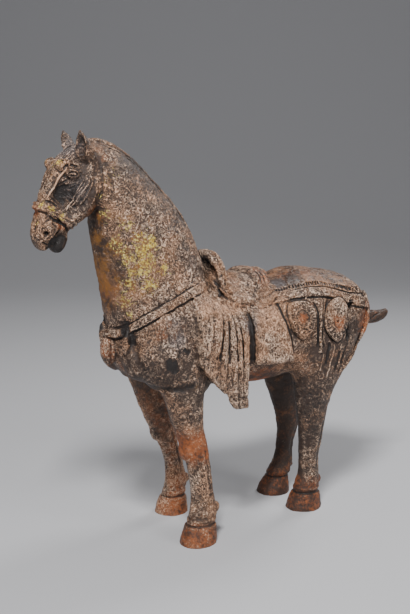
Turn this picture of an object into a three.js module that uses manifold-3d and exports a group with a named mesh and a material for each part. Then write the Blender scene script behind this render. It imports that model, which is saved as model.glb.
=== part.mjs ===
// A saddled horse standing foursquare, modelled in fired clay as one solid piece.
// Millimetres, +Z up. The horse faces -X, its left (near) side faces -Y, and the
// origin is on the ground under the middle of its bounding box.
import * as THREE from "three";
import { LoftGeometry } from "three/addons/geometries/LoftGeometry.js";
import { mergeVertices } from "three/addons/utils/BufferGeometryUtils.js";
import Module from "manifold-3d";

// Driving dimensions
const height = 560; // ground to ear tips

const strapWidth = 13; // breast strap and crupper
const strapThickness = 3;
const hangerWidth = 8; // narrow strap down the thigh
const hangerThickness = 2.5;

const leafWidth = 34; // apricot leaf pendant on the crupper
const leafLength = 62;
const leafThickness = 4.5;
const medallionWidth = 38; // rosette medallion on the crupper
const medallionLength = 64;
const medallionThickness = 4;
const rosetteWidth = 19; // raised disc in the medallion
const rosetteRise = 2.5;
const dropWidth = 21; // small pendants on the breast strap
const dropLength = 48;
const dropThickness = 4;
const bossWidth = 26; // ball hanging on the breast
const bossLength = 44;

const clothThickness = 6; // hanging saddle cloth
const clothStand = 4; // how far it stands off the barrel
const pleatDepth = 3;
const pleatCount = 5;
const blanketThickness = 8; // flat flap behind the cloth
const blanketStand = 4;

const seatThickness = 10;
const pommelThickness = 17;
const pommelDepth = 45; // from its rim down into the back
const cantleThickness = 26;
const cantleDepth = 26;

const maneWidth = 11;
const maneRise = 4;
const nosebandWidth = 9;
const nosebandThickness = 2;
const cheekStrapWidth = 5;
const cheekStrapThickness = 1.6;

const sunk = 3; // how deep a relief's underside lies in the body
const standOff = 40; // how far outside the body the search for its skin begins

// The figure's own form is drawn on a canon of 1000 parts of its height.
const canon = height / 1000;
const at = (x, y, z) => new THREE.Vector3(x, y, z).multiplyScalar(canon);
const { clamp, lerp, smoothstep } = THREE.MathUtils;

const wasm = await Module();
wasm.setup();

// A closed geometry as a solid that can be joined and cut.
function solid(geometry) {
  const bare = new THREE.BufferGeometry();
  bare.setAttribute("position", geometry.getAttribute("position"));
  bare.setIndex(geometry.getIndex());
  const merged = mergeVertices(bare, 1e-3);
  const corners = merged.index.array;
  const faces = [];
  for (let i = 0; i < corners.length; i += 3) {
    const [a, b, c] = corners.slice(i, i + 3);
    if (a !== b && b !== c && c !== a) faces.push(a, b, c);
  }
  return new wasm.Manifold(
    new wasm.Mesh({
      numProp: 3,
      vertProperties: merged.attributes.position.array,
      triVerts: new Uint32Array(faces),
    }),
  );
}

// A solid as a geometry that three.js can hold.
function geometryOf(manifold) {
  const { vertProperties, triVerts } = manifold.getMesh();
  const geometry = new THREE.BufferGeometry();
  geometry.setAttribute("position", new THREE.BufferAttribute(vertProperties, 3));
  geometry.setIndex(new THREE.BufferAttribute(triVerts, 1));
  geometry.computeVertexNormals();
  return geometry;
}

// A closed body skinned over rings of points, drawn together to a point in the
// middle of each end, with the rings turned so that it faces outwards.
function skin(rings) {
  const middle = (ring) =>
    ring.reduce((sum, point) => sum.add(point), new THREE.Vector3()).divideScalar(ring.length);
  const centre = middle(rings[0]);
  const facing = new THREE.Vector3();
  rings[0].forEach((point, i) => {
    const next = rings[0][(i + 1) % rings[0].length];
    facing.add(point.clone().sub(centre).cross(next.clone().sub(centre)));
  });
  const onward = middle(rings[1]).sub(centre);
  const turned = facing.dot(onward) < 0 ? rings.map((ring) => [...ring].reverse()) : rings;
  const gathered = (ring) => ring.map(() => middle(ring));
  return solid(new LoftGeometry([gathered(turned[0]), ...turned, gathered(turned.at(-1))]));
}

// A smooth run of numbers or places through hand-set stations.
const smoothly = (points) => new THREE.CatmullRomCurve3(points, false, "catmullrom", 0.5);

// A body swept through stations. Each station is a line across the side profile,
// [x1, z1, x2, z2, half width, egg, y] in canon parts: the first end is the top or
// front of the section, the second its bottom or back. "egg" above 0 makes the
// section wider towards its second end.
function sweep(stations, { around = 20, along = 20, full = 2 } = {}) {
  const first = smoothly(stations.map(([x, z, , , , , y = 0]) => at(x, y, z)));
  const second = smoothly(stations.map(([, , x, z, , , y = 0]) => at(x, y, z)));
  const shape = smoothly(stations.map(([, , , , w, egg = 0]) => new THREE.Vector3(w * canon, egg, 0)));
  const rings = [];
  for (let i = 0; i <= along; i++) {
    const a = first.getPoint(i / along);
    const b = second.getPoint(i / along);
    const { x: width, y: egg } = shape.getPoint(i / along);
    const centre = a.clone().add(b).multiplyScalar(0.5);
    const reach = a.clone().sub(centre);
    const ring = [];
    for (let j = 0; j < around; j++) {
      const angle = (j / around) * 2 * Math.PI;
      const c = Math.cos(angle);
      const s = Math.sin(angle);
      const across = Math.sign(c) * Math.abs(c) ** (2 / full) * width * (1 - egg * s);
      const rise = Math.sign(s) * Math.abs(s) ** (2 / full);
      ring.push(centre.clone().addScaledVector(reach, rise).add(new THREE.Vector3(0, across, 0)));
    }
    rings.push(ring);
  }
  return skin(rings);
}

// An egg of given half sizes in canon parts, tipped about the cross axis.
function egg(x, y, z, rx, ry, rz, tip = 0, detail = 10) {
  const ball = new THREE.SphereGeometry(1, detail, Math.round(detail * 0.7));
  ball.rotateX(Math.PI / 2).scale(rx * canon, ry * canon, rz * canon);
  ball.rotateY(tip).translate(x * canon, y * canon, z * canon);
  return solid(ball);
}

const trunk = [
  [-345, 545, -340, 470, 16, 0],
  [-337, 590, -330, 448, 50, 0],
  [-312, 625, -306, 425, 84, 0],
  [-270, 650, -270, 400, 118, 0],
  [-220, 660, -220, 386, 133, 0],
  [-150, 655, -150, 378, 138, 0.02],
  [-60, 622, -60, 370, 140, 0.05],
  [30, 608, 30, 364, 143, 0.06],
  [110, 630, 110, 368, 142, 0.04],
  [185, 650, 185, 380, 140, 0],
  [250, 650, 250, 386, 136, 0],
  [310, 636, 312, 392, 125, 0],
  [360, 610, 356, 405, 100, 0],
  [395, 578, 388, 432, 70, 0],
  [412, 548, 408, 465, 42, 0],
  [420, 525, 418, 490, 15, 0],
];

const neck = [
  [-54, 520, -325, 490, 122, 0],
  [-60, 610, -345, 560, 122, 0],
  [-94, 702, -360, 640, 108, 0.1],
  [-152, 788, -375, 722, 93, 0.15],
  [-220, 864, -385, 786, 78, 0.15],
  [-292, 932, -387, 836, 63, 0.12],
  [-342, 963, -385, 872, 50, 0.1],
  [-380, 971, -390, 890, 36, 0],
  [-408, 958, -405, 905, 24, 0],
];

const head = [
  [-385, 972, -362, 925, 34, 0],
  [-422, 968, -366, 880, 46, 0],
  [-458, 950, -374, 846, 52, -0.1],
  [-484, 915, -390, 815, 50, 0],
  [-498, 875, -414, 800, 42, 0.05],
  [-512, 840, -440, 788, 35, 0],
  [-522, 808, -458, 774, 34, 0],
  [-529, 778, -462, 752, 39, -0.05],
  [-526, 752, -462, 738, 36, 0],
  [-512, 735, -478, 728, 20, 0],
];

// A leg's station is [z, front x, back x, half width, y].
function leg(stations, side) {
  const across = ([z, front, back, width, y]) => [front, z, back, z, width, 0, side * y];
  return sweep(stations.map(across), { around: 10, along: 13 });
}

const leftFore = [
  [510, -280, -112, 50, 84],
  [430, -262, -124, 52, 86],
  [360, -240, -140, 42, 88],
  [285, -216, -140, 34, 91],
  [245, -200, -131, 30, 94],
  [215, -191, -128, 28, 96],
  [156, -181, -120, 25, 99],
  [105, -177, -113, 26, 103],
  [72, -184, -108, 29, 106],
  [44, -196, -114, 35, 109],
  [0, -212, -118, 44, 111],
];

const rightFore = [
  [510, -280, -112, 50, 82],
  [430, -266, -128, 50, 81],
  [360, -244, -146, 42, 80],
  [290, -216, -142, 34, 83],
  [232, -187, -122, 29, 87],
  [178, -157, -106, 26, 90],
  [121, -143, -91, 25, 93],
  [88, -141, -82, 28, 95],
  [58, -150, -82, 30, 96],
  [36, -156, -82, 35, 97],
  [0, -168, -80, 43, 98],
];

const leftHind = [
  [580, 150, 300, 46, 76],
  [500, 118, 350, 62, 80],
  [430, 124, 330, 62, 82],
  [360, 146, 284, 48, 84],
  [300, 153, 254, 36, 83],
  [250, 164, 246, 31, 80],
  [210, 169, 242, 29, 77],
  [150, 174, 234, 25, 73],
  [100, 178, 236, 26, 69],
  [68, 168, 240, 30, 66],
  [42, 160, 242, 37, 64],
  [0, 148, 250, 46, 61],
];

const rightHind = [
  [580, 150, 300, 46, 76],
  [500, 124, 350, 60, 78],
  [430, 134, 334, 60, 78],
  [360, 152, 300, 47, 77],
  [300, 174, 284, 37, 76],
  [240, 196, 277, 31, 75],
  [190, 208, 273, 28, 75],
  [137, 207, 257, 25, 75],
  [92, 198, 253, 27, 75],
  [62, 178, 248, 31, 75],
  [40, 162, 242, 37, 75],
  [0, 146, 240, 45, 75],
];

const tail = [
  [385, 512, 385, 468, 26, 0],
  [440, 516, 436, 472, 22, 0],
  [480, 508, 476, 468, 19, 0],
  [508, 506, 508, 474, 16, 0],
  [526, 508, 530, 488, 9, 0],
  [532, 506, 534, 498, 3, 0],
];

// An ear opens forwards and outwards; its stations are level cuts.
function ear(side) {
  const leaf = (front, back, width, y, z) => [front, z, back, z, width, 0, side * y];
  const outer = [
    leaf(-424, -382, 17, 32, 938),
    leaf(-431, -394, 16, 37, 962),
    leaf(-434, -406, 11, 42, 982),
    leaf(-432, -424, 3, 46, 1000),
  ];
  const hollow = [
    leaf(-440, -412, 7, 42, 950),
    leaf(-442, -416, 7, 46, 968),
    leaf(-440, -424, 3, 49, 986),
  ];
  const level = { around: 8, along: 4 };
  return sweep(outer, level).subtract(sweep(hollow, level));
}

// The naked horse: limbs run deep into the trunk, and shoulders and haunches swell.
function nakedHorse() {
  const pieces = [
    sweep(trunk, { around: 18, along: 21, full: 2.15 }),
    sweep(neck, { around: 16, along: 11 }),
    sweep(head, { around: 16, along: 13 }),
    leg(leftFore, -1),
    leg(rightFore, 1),
    leg(leftHind, -1),
    leg(rightHind, 1),
    sweep(tail, { around: 8, along: 6 }),
  ];
  for (const side of [-1, 1]) {
    pieces.push(egg(-220, side * 80, 468, 98, 59, 88, 0.3, 10)); // shoulder
    pieces.push(egg(-412, side * 34, 868, 46, 16, 52, 0.5, 10)); // jaw
    pieces.push(egg(-458, side * 42, 925, 26, 12, 14, 0.7, 8)); // brow
    pieces.push(egg(-513, side * 27, 778, 16, 15, 20, 0, 8)); // nostril
    pieces.push(ear(side));
  }
  return pieces.reduce((whole, piece) => whole.add(piece));
}

// A mouth left open between the lips, and two nostrils.
function carveMouth(body) {
  const gap = [
    [-486, 716, -500, 716, 60, 0],
    [-482, 742, -494, 742, 60, 0],
    [-472, 768, -478, 768, 60, 0],
  ];
  let carved = body.subtract(sweep(gap, { around: 6, along: 4 }));
  for (const side of [-1, 1]) {
    carved = carved.subtract(egg(-514, side * 42, 776, 7, 10, 9, 0, 6));
  }
  return carved;
}

const naked = carveMouth(nakedHorse());
const ground = new THREE.Mesh(geometryOf(naked));
const pointer = new THREE.Raycaster();

// Where a line from outside first meets the naked horse.
function touch(point, outward) {
  const start = point.clone().addScaledVector(outward, standOff);
  pointer.set(start, outward.clone().negate());
  const [hit] = pointer.intersectObject(ground);
  return hit ? hit.point : point.clone();
}

// The line that a relief faces away from: the middle of the trunk, or of the head.
const trunkCore = (point) =>
  at(clamp(point.x / canon, -190, 290), 0, clamp(point.z / canon, 470, 555));
const headLine = new THREE.Line3(at(-410, 0, 910), at(-500, 0, 760));
const headCore = (point) => headLine.closestPointToPoint(point, true, new THREE.Vector3());

// A relief is a grid of places dropped onto the body and raised off it. Each row
// holds [place, rise] pairs, and the underside lies sunk in the body.
function relief(rows, core = trunkCore) {
  const rings = rows.map((row) => {
    const lying = row.map(([place, rise]) => {
      const outward = place.clone().sub(core(place)).normalize();
      return { foot: touch(place, outward), outward, rise };
    });
    const top = lying.map(({ foot, outward, rise }) => foot.clone().addScaledVector(outward, rise));
    const ends = [lying.at(-1), lying[0]];
    const under = ends.map(({ foot, outward }) => foot.clone().addScaledVector(outward, -sunk));
    return [...top, ...under];
  });
  return skin(rings);
}

// A strap along a route of places near the body, crowned over its width.
function strap(route, width, thickness, { steps = 16, core = trunkCore, taper = 1 } = {}) {
  const line = smoothly(route);
  const rows = [];
  for (let i = 0; i <= steps; i++) {
    const place = line.getPoint(i / steps);
    const outward = place.clone().sub(core(place)).normalize();
    const across = line.getTangent(i / steps).cross(outward).normalize();
    const half = (width / 2) * lerp(1, taper, i / steps);
    rows.push(
      [-1, -0.8, 0.8, 1].map((share, k) => [
        place.clone().addScaledVector(across, share * half),
        k === 0 || k === 3 ? thickness * 0.4 : thickness,
      ]),
    );
  }
  return relief(rows, core);
}

// A pendant hanging flat on the side of the body: rings of one outline, drawn in to
// its middle. "outline" gives the radius share of an angle, measured from straight down.
function pendant(centre, width, length, outline, profile, sides = 16) {
  const rings = profile.map(([share, rise]) => {
    const ring = [];
    for (let j = 0; j < sides; j++) {
      const angle = (j / sides) * 2 * Math.PI;
      const radius = outline(angle) * share;
      const away = trunkCore(centre).sub(centre).negate().normalize();
      const level = new THREE.Vector3(0, 0, 1).cross(away).normalize();
      const place = centre.clone().addScaledVector(level, (Math.sin(angle) * radius * width) / 2);
      place.z -= (Math.cos(angle) * radius * length) / 2;
      const outward = place.clone().sub(trunkCore(place)).normalize();
      ring.push(touch(place, outward).addScaledVector(outward, rise));
    }
    return ring;
  });
  return skin(rings);
}

// Rounded above and drawn to a point below.
const ogive = (angle) => 0.86 + 0.14 * Math.max(0, Math.cos(angle)) ** 6;
// An apricot leaf: a scalloped upper edge and a pointed foot.
const apricot = (angle) => ogive(angle) + 0.05 * Math.cos(angle * 5 + Math.PI) * (Math.cos(angle) < 0.6);

// The two sides carry the same harness.
const bothSides = (make) => [make(-1), make(1)];

// A route round the body: [x, y, z] places of its left half, which ends in the
// middle plane, and the same mirrored.
function loop(half) {
  const left = half.map(([x, y, z]) => at(x, -y, z));
  const right = half.slice(0, -1).map(([x, y, z]) => at(x, y, z));
  return [...left, ...right.reverse()];
}

function breastStrap() {
  const half = [
    [-120, 126, 664],
    [-190, 128, 650],
    [-242, 120, 626],
    [-288, 100, 597],
    [-314, 75, 570],
    [-334, 42, 550],
    [-346, 0, 542],
  ];
  return strap(loop(half), strapWidth, strapThickness, { steps: 18 });
}

function breastPendants(side) {
  const rim = [
    [1, -sunk],
    [1, dropThickness * 0.6],
    [0.8, dropThickness],
    [0.25, dropThickness * 1.3],
  ];
  return [
    pendant(at(-277, side * 105, 517), dropWidth, dropLength, ogive, rim, 9),
    pendant(at(-326, side * 62, 516), dropWidth * 0.8, dropLength * 0.9, ogive, rim, 9),
  ];
}

function crupper() {
  const half = [
    [60, 126, 606],
    [110, 128, 612],
    [180, 128, 615],
    [230, 124, 609],
    [280, 116, 595],
    [330, 98, 574],
    [372, 66, 556],
    [398, 34, 543],
    [410, 0, 536],
  ];
  return strap(loop(half), strapWidth, strapThickness, { steps: 18 });
}

function crupperPendants(side) {
  const hanger = [
    at(182, side * 130, 592),
    at(188, side * 134, 540),
    at(192, side * 134, 500),
    at(198, side * 132, 458),
  ];
  const field = medallionThickness * 0.6;
  const medallionRim = [
    [1, -sunk],
    [1, field],
    [0.9, medallionThickness],
    [0.76, field],
    [0.2, field],
  ];
  const rosetteRim = [
    [1, 0],
    [1, field + rosetteRise],
    [0.75, field + rosetteRise * 0.5],
    [0.3, field + rosetteRise * 1.2],
  ];
  const leafRim = [
    [1, -sunk],
    [1, leafThickness * 0.5],
    [0.8, leafThickness],
    [0.2, leafThickness * 1.2],
  ];
  const round = () => 1;
  return [
    strap(hanger, hangerWidth * 1.8, hangerThickness, { steps: 5, taper: 0.4 }),
    pendant(at(130, side * 135, 535), medallionWidth, medallionLength, ogive, medallionRim, 16),
    pendant(at(130, side * 135, 540), rosetteWidth, rosetteWidth, round, rosetteRim, 10),
    pendant(at(241, side * 125, 520), leafWidth, leafLength, apricot, leafRim, 14),
  ];
}

// A flap that follows the barrel down to its widest line and then hangs straight.
// "across" gives the left and right edge of a row and "down" its height, both in
// canon parts; "swell" is the standing pleat at a place.
function flap(side, { rows, columns, corner, thickness, stand, swell }) {
  const widest = 500;
  const rings = [];
  for (let i = 0; i <= rows; i++) {
    const outer = [];
    const inner = [];
    for (let j = 0; j <= columns; j++) {
      const { x, z } = corner(j / columns, i / rows);
      const foot = touch(at(x, side * 130, Math.max(z, widest)), new THREE.Vector3(0, side, 0));
      const lift = (stand * i) / rows + thickness + swell(j / columns, i / rows);
      const edge = j === 0 || j === columns;
      const face = Math.abs(foot.y) + (edge ? lift - thickness * 0.4 : lift);
      outer.push(new THREE.Vector3(x * canon, side * face, z * canon));
      if (edge) {
        const back = face - thickness - smoothstep(z, 400, 470) * (sunk + (stand * i) / rows);
        inner.unshift(new THREE.Vector3(x * canon, side * back, z * canon));
      }
    }
    rings.push([...outer, ...inner]);
  }
  return skin(rings);
}

// Height of the cloth's slanting lower edge, drawn down to a blunt tail.
const clothFoot = smoothly([
  at(-182, 0, 446),
  at(-140, 0, 402),
  at(-100, 0, 376),
  at(-84, 0, 342),
  at(-46, 0, 334),
]);

function clothFlap(side) {
  return flap(side, {
    rows: 6,
    columns: pleatCount * 2 + 1,
    thickness: clothThickness,
    stand: clothStand,
    corner: (u, v) => {
      const foot = clothFoot.getPoint(u).divideScalar(canon);
      return { x: lerp(lerp(-178, -48, u), foot.x, v), z: lerp(lerp(612, 590, u), foot.z, v) };
    },
    swell: (u, v) => {
      const column = Math.round(u * (pleatCount * 2 + 1));
      return column % 2 ? 0 : pleatDepth * smoothstep(v, -0.1, 0.4);
    },
  });
}

function blanketFlap(side) {
  return flap(side, {
    rows: 3,
    columns: 3,
    thickness: blanketThickness,
    stand: blanketStand,
    corner: (u, v) => ({ x: lerp(lerp(-60, 38, u), lerp(-56, 84, u), v), z: lerp(590, 434, v) }),
    swell: () => 0,
  });
}

// The seat is a thick skin over the back whose skirt is scalloped along the side.
function seat() {
  const spine = (x) => at(x, 0, 520);
  const skirt = smoothly([
    at(-104, 0, 622),
    at(-64, 0, 598),
    at(-20, 0, 604),
    at(20, 0, 622),
    at(62, 0, 610),
    at(92, 0, 632),
  ]);
  const rows = [];
  for (let i = 0; i <= 10; i++) {
    const edge = skirt.getPoint(i / 10).divideScalar(canon);
    const limit = Math.atan2(122, edge.z - 520);
    const row = [];
    for (let j = -6; j <= 6; j++) {
      const angle = (j / 6) * limit;
      const reach = 122 / Math.sin(limit);
      const place = at(edge.x, Math.sin(angle) * reach, 520 + Math.cos(angle) * reach);
      row.push([place, Math.abs(j) === 6 ? seatThickness * 0.5 : seatThickness]);
    }
    rows.push(row);
  }
  return relief(rows, (place) => spine(place.x / canon));
}

// A wall standing across the back. Its rim runs through [x, y, z] places from the
// crown down one side, mirrored. The section is a rounded wedge that leans forward
// and reaches down into the back.
function arch(rim, thickness, depth, lean) {
  const half = rim.map(([x, y, z]) => at(x, y, z));
  const other = rim.slice(1).map(([x, y, z]) => at(x, -y, z));
  const line = smoothly([...half.reverse(), ...other]);
  const steps = 12;
  const rings = [];
  for (let i = 0; i <= steps; i++) {
    const crown = line.getPoint(i / steps);
    const inward = new THREE.Vector3(lean, -crown.y / depth / 3, -1).normalize();
    const along = new THREE.Vector3(1, 0, lean).normalize();
    const ring = [];
    for (let j = 0; j <= 4; j++) {
      const angle = (j / 4) * Math.PI;
      const across = (Math.cos(angle) * thickness) / 2;
      const down = ((1 - Math.sin(angle)) * thickness) / 2;
      ring.push(crown.clone().addScaledVector(along, across).addScaledVector(inward, down));
    }
    for (const across of [-0.5, 0.5]) {
      ring.push(
        crown.clone().addScaledVector(along, across * thickness).addScaledVector(inward, depth),
      );
    }
    rings.push(ring);
  }
  return skin(rings);
}

function saddle() {
  const pommel = [
    [-78, 0, 713],
    [-78, 34, 704],
    [-72, 66, 677],
    [-62, 90, 640],
    [-50, 92, 600],
  ];
  const cantle = [
    [62, 0, 658],
    [62, 45, 652],
    [60, 82, 630],
    [56, 84, 596],
  ];
  return [
    seat(),
    arch(pommel, pommelThickness, pommelDepth, 0.45),
    arch(cantle, cantleThickness, cantleDepth, 0),
  ];
}

// A low hogged mane along the crest, from the poll to the withers.
function mane() {
  const crest = neck.slice(1).map(([x, z, x2, z2]) => {
    const away = at(x - x2, 0, z - z2).normalize();
    return at(x, 0, z).addScaledVector(away, (maneRise - sunk) / 2);
  });
  const line = smoothly(crest);
  const steps = 10;
  const rings = [];
  for (let i = 0; i <= steps; i++) {
    const place = line.getPoint(i / steps);
    const tangent = line.getTangent(i / steps);
    const away = new THREE.Vector3(0, 1, 0).cross(tangent).normalize();
    const ring = [];
    for (let j = 0; j < 6; j++) {
      const angle = (j / 6) * 2 * Math.PI;
      ring.push(
        place
          .clone()
          .addScaledVector(away, Math.cos(angle) * (maneRise + sunk) * 0.5)
          .add(new THREE.Vector3(0, (Math.sin(angle) * maneWidth) / 2, 0)),
      );
    }
    rings.push(ring);
  }
  return skin(rings);
}

function noseband() {
  const half = [
    [-445, 4, 791],
    [-450, 24, 796],
    [-466, 34, 806],
    [-492, 37, 824],
    [-514, 22, 834],
    [-520, 0, 836],
  ];
  return strap(loop(half), nosebandWidth, nosebandThickness, { steps: 10, core: headCore });
}

// A cheek strap from the noseband up to the ear.
function cheekStrap(side) {
  const route = [
    at(-480, side * 40, 826),
    at(-452, side * 50, 872),
    at(-424, side * 50, 914),
    at(-404, side * 44, 944),
  ];
  return strap(route, cheekStrapWidth, cheekStrapThickness, { steps: 4, core: headCore });
}

function dressedHorse() {
  const parts = [
    breastStrap(),
    crupper(),
    noseband(),
    ...bothSides(breastPendants).flat(),
    ...bothSides(crupperPendants).flat(),
    ...bothSides(clothFlap),
    ...bothSides(blanketFlap),
    ...bothSides(cheekStrap),
    ...saddle(),
    mane(),
    egg(-345, 0, 488, bossWidth / 2 / canon * 0.8, bossWidth / 2 / canon, bossLength / 2 / canon),
  ];
  const whole = parts.reduce((sum, part) => sum.add(part), naked);
  // Pockets closed in between reliefs are filled with clay.
  const shells = whole.decompose().filter((shell) => shell.volume() > 0);
  return shells.reduce((sum, shell) => sum.add(shell));
}

const clay = new THREE.MeshStandardMaterial({ color: 0x7d6250, roughness: 0.8, metalness: 0 });
const figure = new THREE.Mesh(geometryOf(dressedHorse()), clay);
figure.name = "tomb_horse";

const group = new THREE.Group();
group.add(figure);
export default group;
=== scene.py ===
# A saddled tomb horse in fired clay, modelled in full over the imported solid.
import math
import bpy
import numpy as np
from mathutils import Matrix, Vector
from mathutils.bvhtree import BVHTree


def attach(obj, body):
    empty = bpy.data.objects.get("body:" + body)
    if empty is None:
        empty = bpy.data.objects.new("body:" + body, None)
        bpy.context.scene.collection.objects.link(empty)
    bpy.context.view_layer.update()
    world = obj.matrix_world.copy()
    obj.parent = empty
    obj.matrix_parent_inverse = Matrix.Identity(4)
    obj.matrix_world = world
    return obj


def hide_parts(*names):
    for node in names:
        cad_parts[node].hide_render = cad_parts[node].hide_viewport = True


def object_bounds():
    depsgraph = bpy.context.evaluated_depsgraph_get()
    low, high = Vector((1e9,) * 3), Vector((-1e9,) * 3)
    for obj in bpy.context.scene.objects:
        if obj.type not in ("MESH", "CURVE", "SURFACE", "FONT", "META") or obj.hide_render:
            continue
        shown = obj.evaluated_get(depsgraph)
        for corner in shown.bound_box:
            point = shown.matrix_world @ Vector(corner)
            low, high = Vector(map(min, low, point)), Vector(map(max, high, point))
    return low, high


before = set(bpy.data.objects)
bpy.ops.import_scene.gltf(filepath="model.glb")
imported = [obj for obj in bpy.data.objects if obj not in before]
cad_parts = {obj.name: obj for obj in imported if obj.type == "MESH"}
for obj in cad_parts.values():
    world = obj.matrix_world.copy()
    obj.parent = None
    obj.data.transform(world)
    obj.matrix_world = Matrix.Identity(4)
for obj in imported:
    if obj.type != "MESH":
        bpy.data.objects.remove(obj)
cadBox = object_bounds()

part = cadBox[1].z / 1000  # the figure is measured in thousandths of its height
mm = 0.001
bodyGrain = 1.8 * mm  # voxel of the naked horse
grain = 1.0 * mm  # voxel of the dressed horse
flank = 130  # how far out the sides of the body lie, in parts


def at(x, y, z):
    return Vector((x, y, z)) * part


def clearPick():
    if bpy.context.object and bpy.context.object.mode != "OBJECT":
        bpy.ops.object.mode_set(mode="OBJECT")
    bpy.ops.object.select_all(action="DESELECT")


def pickOnly(piece):
    clearPick()
    piece.select_set(True)
    bpy.context.view_layer.objects.active = piece


def applyModifier(piece, kind, **settings):
    pickOnly(piece)
    modifier = piece.modifiers.new(kind, kind)
    for key, value in settings.items():
        setattr(modifier, key, value)
    bpy.ops.object.modifier_apply(modifier=modifier.name)


def joined(name, pieces):
    pickOnly(pieces[0])
    for piece in pieces:
        piece.select_set(True)
    bpy.ops.object.join()
    whole = bpy.context.object
    whole.name = name
    whole.data.name = name
    return whole


def placesOf(piece):
    flat = np.empty(len(piece.data.vertices) * 3, np.float32)
    piece.data.vertices.foreach_get("co", flat)
    return flat.reshape(-1, 3).astype(float)


def putPlaces(piece, places):
    piece.data.vertices.foreach_set("co", places.astype(np.float32).ravel())
    piece.data.update()


def facingOf(piece):
    flat = np.empty(len(piece.data.vertices) * 3, np.float32)
    piece.data.vertex_normals.foreach_get("vector", flat)
    return flat.reshape(-1, 3).astype(float)


def edgesOf(piece):
    flat = np.empty(len(piece.data.edges) * 2, np.int32)
    piece.data.edges.foreach_get("vertices", flat)
    return flat.reshape(-1, 2)


def treeOf(piece):
    return BVHTree.FromObject(piece, bpy.context.evaluated_depsgraph_get())


# Each place is drawn towards the middle of its neighbours.
def settled(values, edges, times, share=0.5):
    values = values.astype(float).copy()
    a, b = edges[:, 0], edges[:, 1]
    count = len(values)
    meets = np.maximum(np.bincount(a, minlength=count) + np.bincount(b, minlength=count), 1)
    columns = values.reshape(count, -1)
    for _ in range(times):
        for k in range(columns.shape[1]):
            line = columns[:, k]
            near = np.bincount(a, line[b], count) + np.bincount(b, line[a], count)
            columns[:, k] = line + (near / meets - line) * share
    return columns.reshape(values.shape)


def easeIn(low, high, values):
    t = np.clip((np.asarray(values, float) - low) / (high - low), 0, 1)
    return t * t * (3 - 2 * t)


# A smooth run of numbers through given stations.
def runThrough(stations, count):
    p = np.array(stations, float)
    p = np.vstack([2 * p[0] - p[1], p, 2 * p[-1] - p[-2]])
    t = np.linspace(0, len(p) - 3, count)
    i = np.minimum(t.astype(int), len(p) - 4)
    u = (t - i)[:, None]
    before, start, end, after = p[i], p[i + 1], p[i + 2], p[i + 3]
    leave, arrive = (end - before) / 2, (after - start) / 2
    cube, square = u**3, u**2
    return (
        (2 * cube - 3 * square + 1) * start
        + (cube - 2 * square + u) * leave
        + (3 * square - 2 * cube) * end
        + (cube - square) * arrive
    )


# A ball is added, and its rings are drawn out one by one to their places. The
# poles close the two ends.
def drawnOut(name, rings):
    rings = np.array(rings, float)
    count, around = rings.shape[:2]
    clearPick()
    bpy.ops.mesh.primitive_uv_sphere_add(segments=around, ring_count=count + 1, radius=1)
    piece = bpy.context.object
    piece.name = name
    piece.data.name = name
    ball = placesOf(piece)
    row = np.rint(np.arccos(np.clip(ball[:, 2], -1, 1)) / math.pi * (count + 1)).astype(int)
    turn = np.rint(np.arctan2(ball[:, 1], ball[:, 0]) / (2 * math.pi) * around).astype(int) % around
    places = rings[np.clip(row - 1, 0, count - 1), turn]
    places[row == 0] = rings[0].mean(0)
    places[row == count + 1] = rings[-1].mean(0)
    putPlaces(piece, places)
    bpy.ops.object.mode_set(mode="EDIT")
    bpy.ops.mesh.select_all(action="SELECT")
    bpy.ops.mesh.normals_make_consistent(inside=False)
    bpy.ops.object.mode_set(mode="OBJECT")
    return piece


# The cosines and sines of a ring, squared off by a fullness above two.
def ringShares(around, full=2.0):
    angle = np.arange(around) / around * 2 * math.pi
    c, s = np.cos(angle), np.sin(angle)
    return np.sign(c) * np.abs(c) ** (2 / full), np.sign(s) * np.abs(s) ** (2 / full)


# A body swept through stations, each a line across the side profile: its top or
# front end x, z, its bottom or back end x, z, half width, egg and y, in parts.
def swept(name, stations, around=32, count=44, full=2.0):
    rows = np.array([list(s) + [0] * (7 - len(s)) for s in stations], float)
    wide, rise = ringShares(around, full)
    rings = []
    for x1, z1, x2, z2, width, egg, y in runThrough(rows, count):
        x = (x1 + x2) / 2 + (x1 - x2) / 2 * rise
        z = (z1 + z2) / 2 + (z1 - z2) / 2 * rise
        rings.append(np.stack([x, y + wide * width * (1 - egg * rise), z], 1) * part)
    return drawnOut(name, rings)


# The head is flat in front between two ridges, hollow in the cheek and full in
# the jaw. Each station gives the half widths of ridge, cheek and jaw.
def sweptHead(name, stations, around=56, count=60):
    rings = []
    for x1, z1, x2, z2, ridge, cheek, jaw in runThrough(stations, count):
        half = runThrough([
            (0, 0), (0, 0.6 * ridge), (0.05, 0.93 * ridge), (0.14, ridge),
            (0.27, 0.6 * ridge + 0.38 * cheek), (0.44, cheek), (0.62, (cheek + jaw) / 2),
            (0.78, jaw), (0.9, 0.85 * jaw), (0.97, 0.5 * jaw), (1, 0),
        ], around // 2 + 1)
        x = x1 + (x2 - x1) * half[:, 0]
        z = z1 + (z2 - z1) * half[:, 0]
        near = np.stack([x, -half[:, 1], z], 1)
        far = np.stack([x, half[:, 1], z], 1)
        rings.append(np.vstack([near, far[-2:0:-1]]) * part)
    return drawnOut(name, rings)


# A swelling: an egg of given half sizes in parts, tipped about the cross axis.
def swelling(x, y, z, rx, ry, rz, tip=0.0, turn=0.0):
    clearPick()
    bpy.ops.mesh.primitive_uv_sphere_add(
        segments=24, ring_count=16, radius=part, location=at(x, y, z),
        rotation=(0, tip, turn), scale=(rx, ry, rz))
    bpy.ops.object.transform_apply(location=True, rotation=True, scale=True)
    return bpy.context.object


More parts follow.
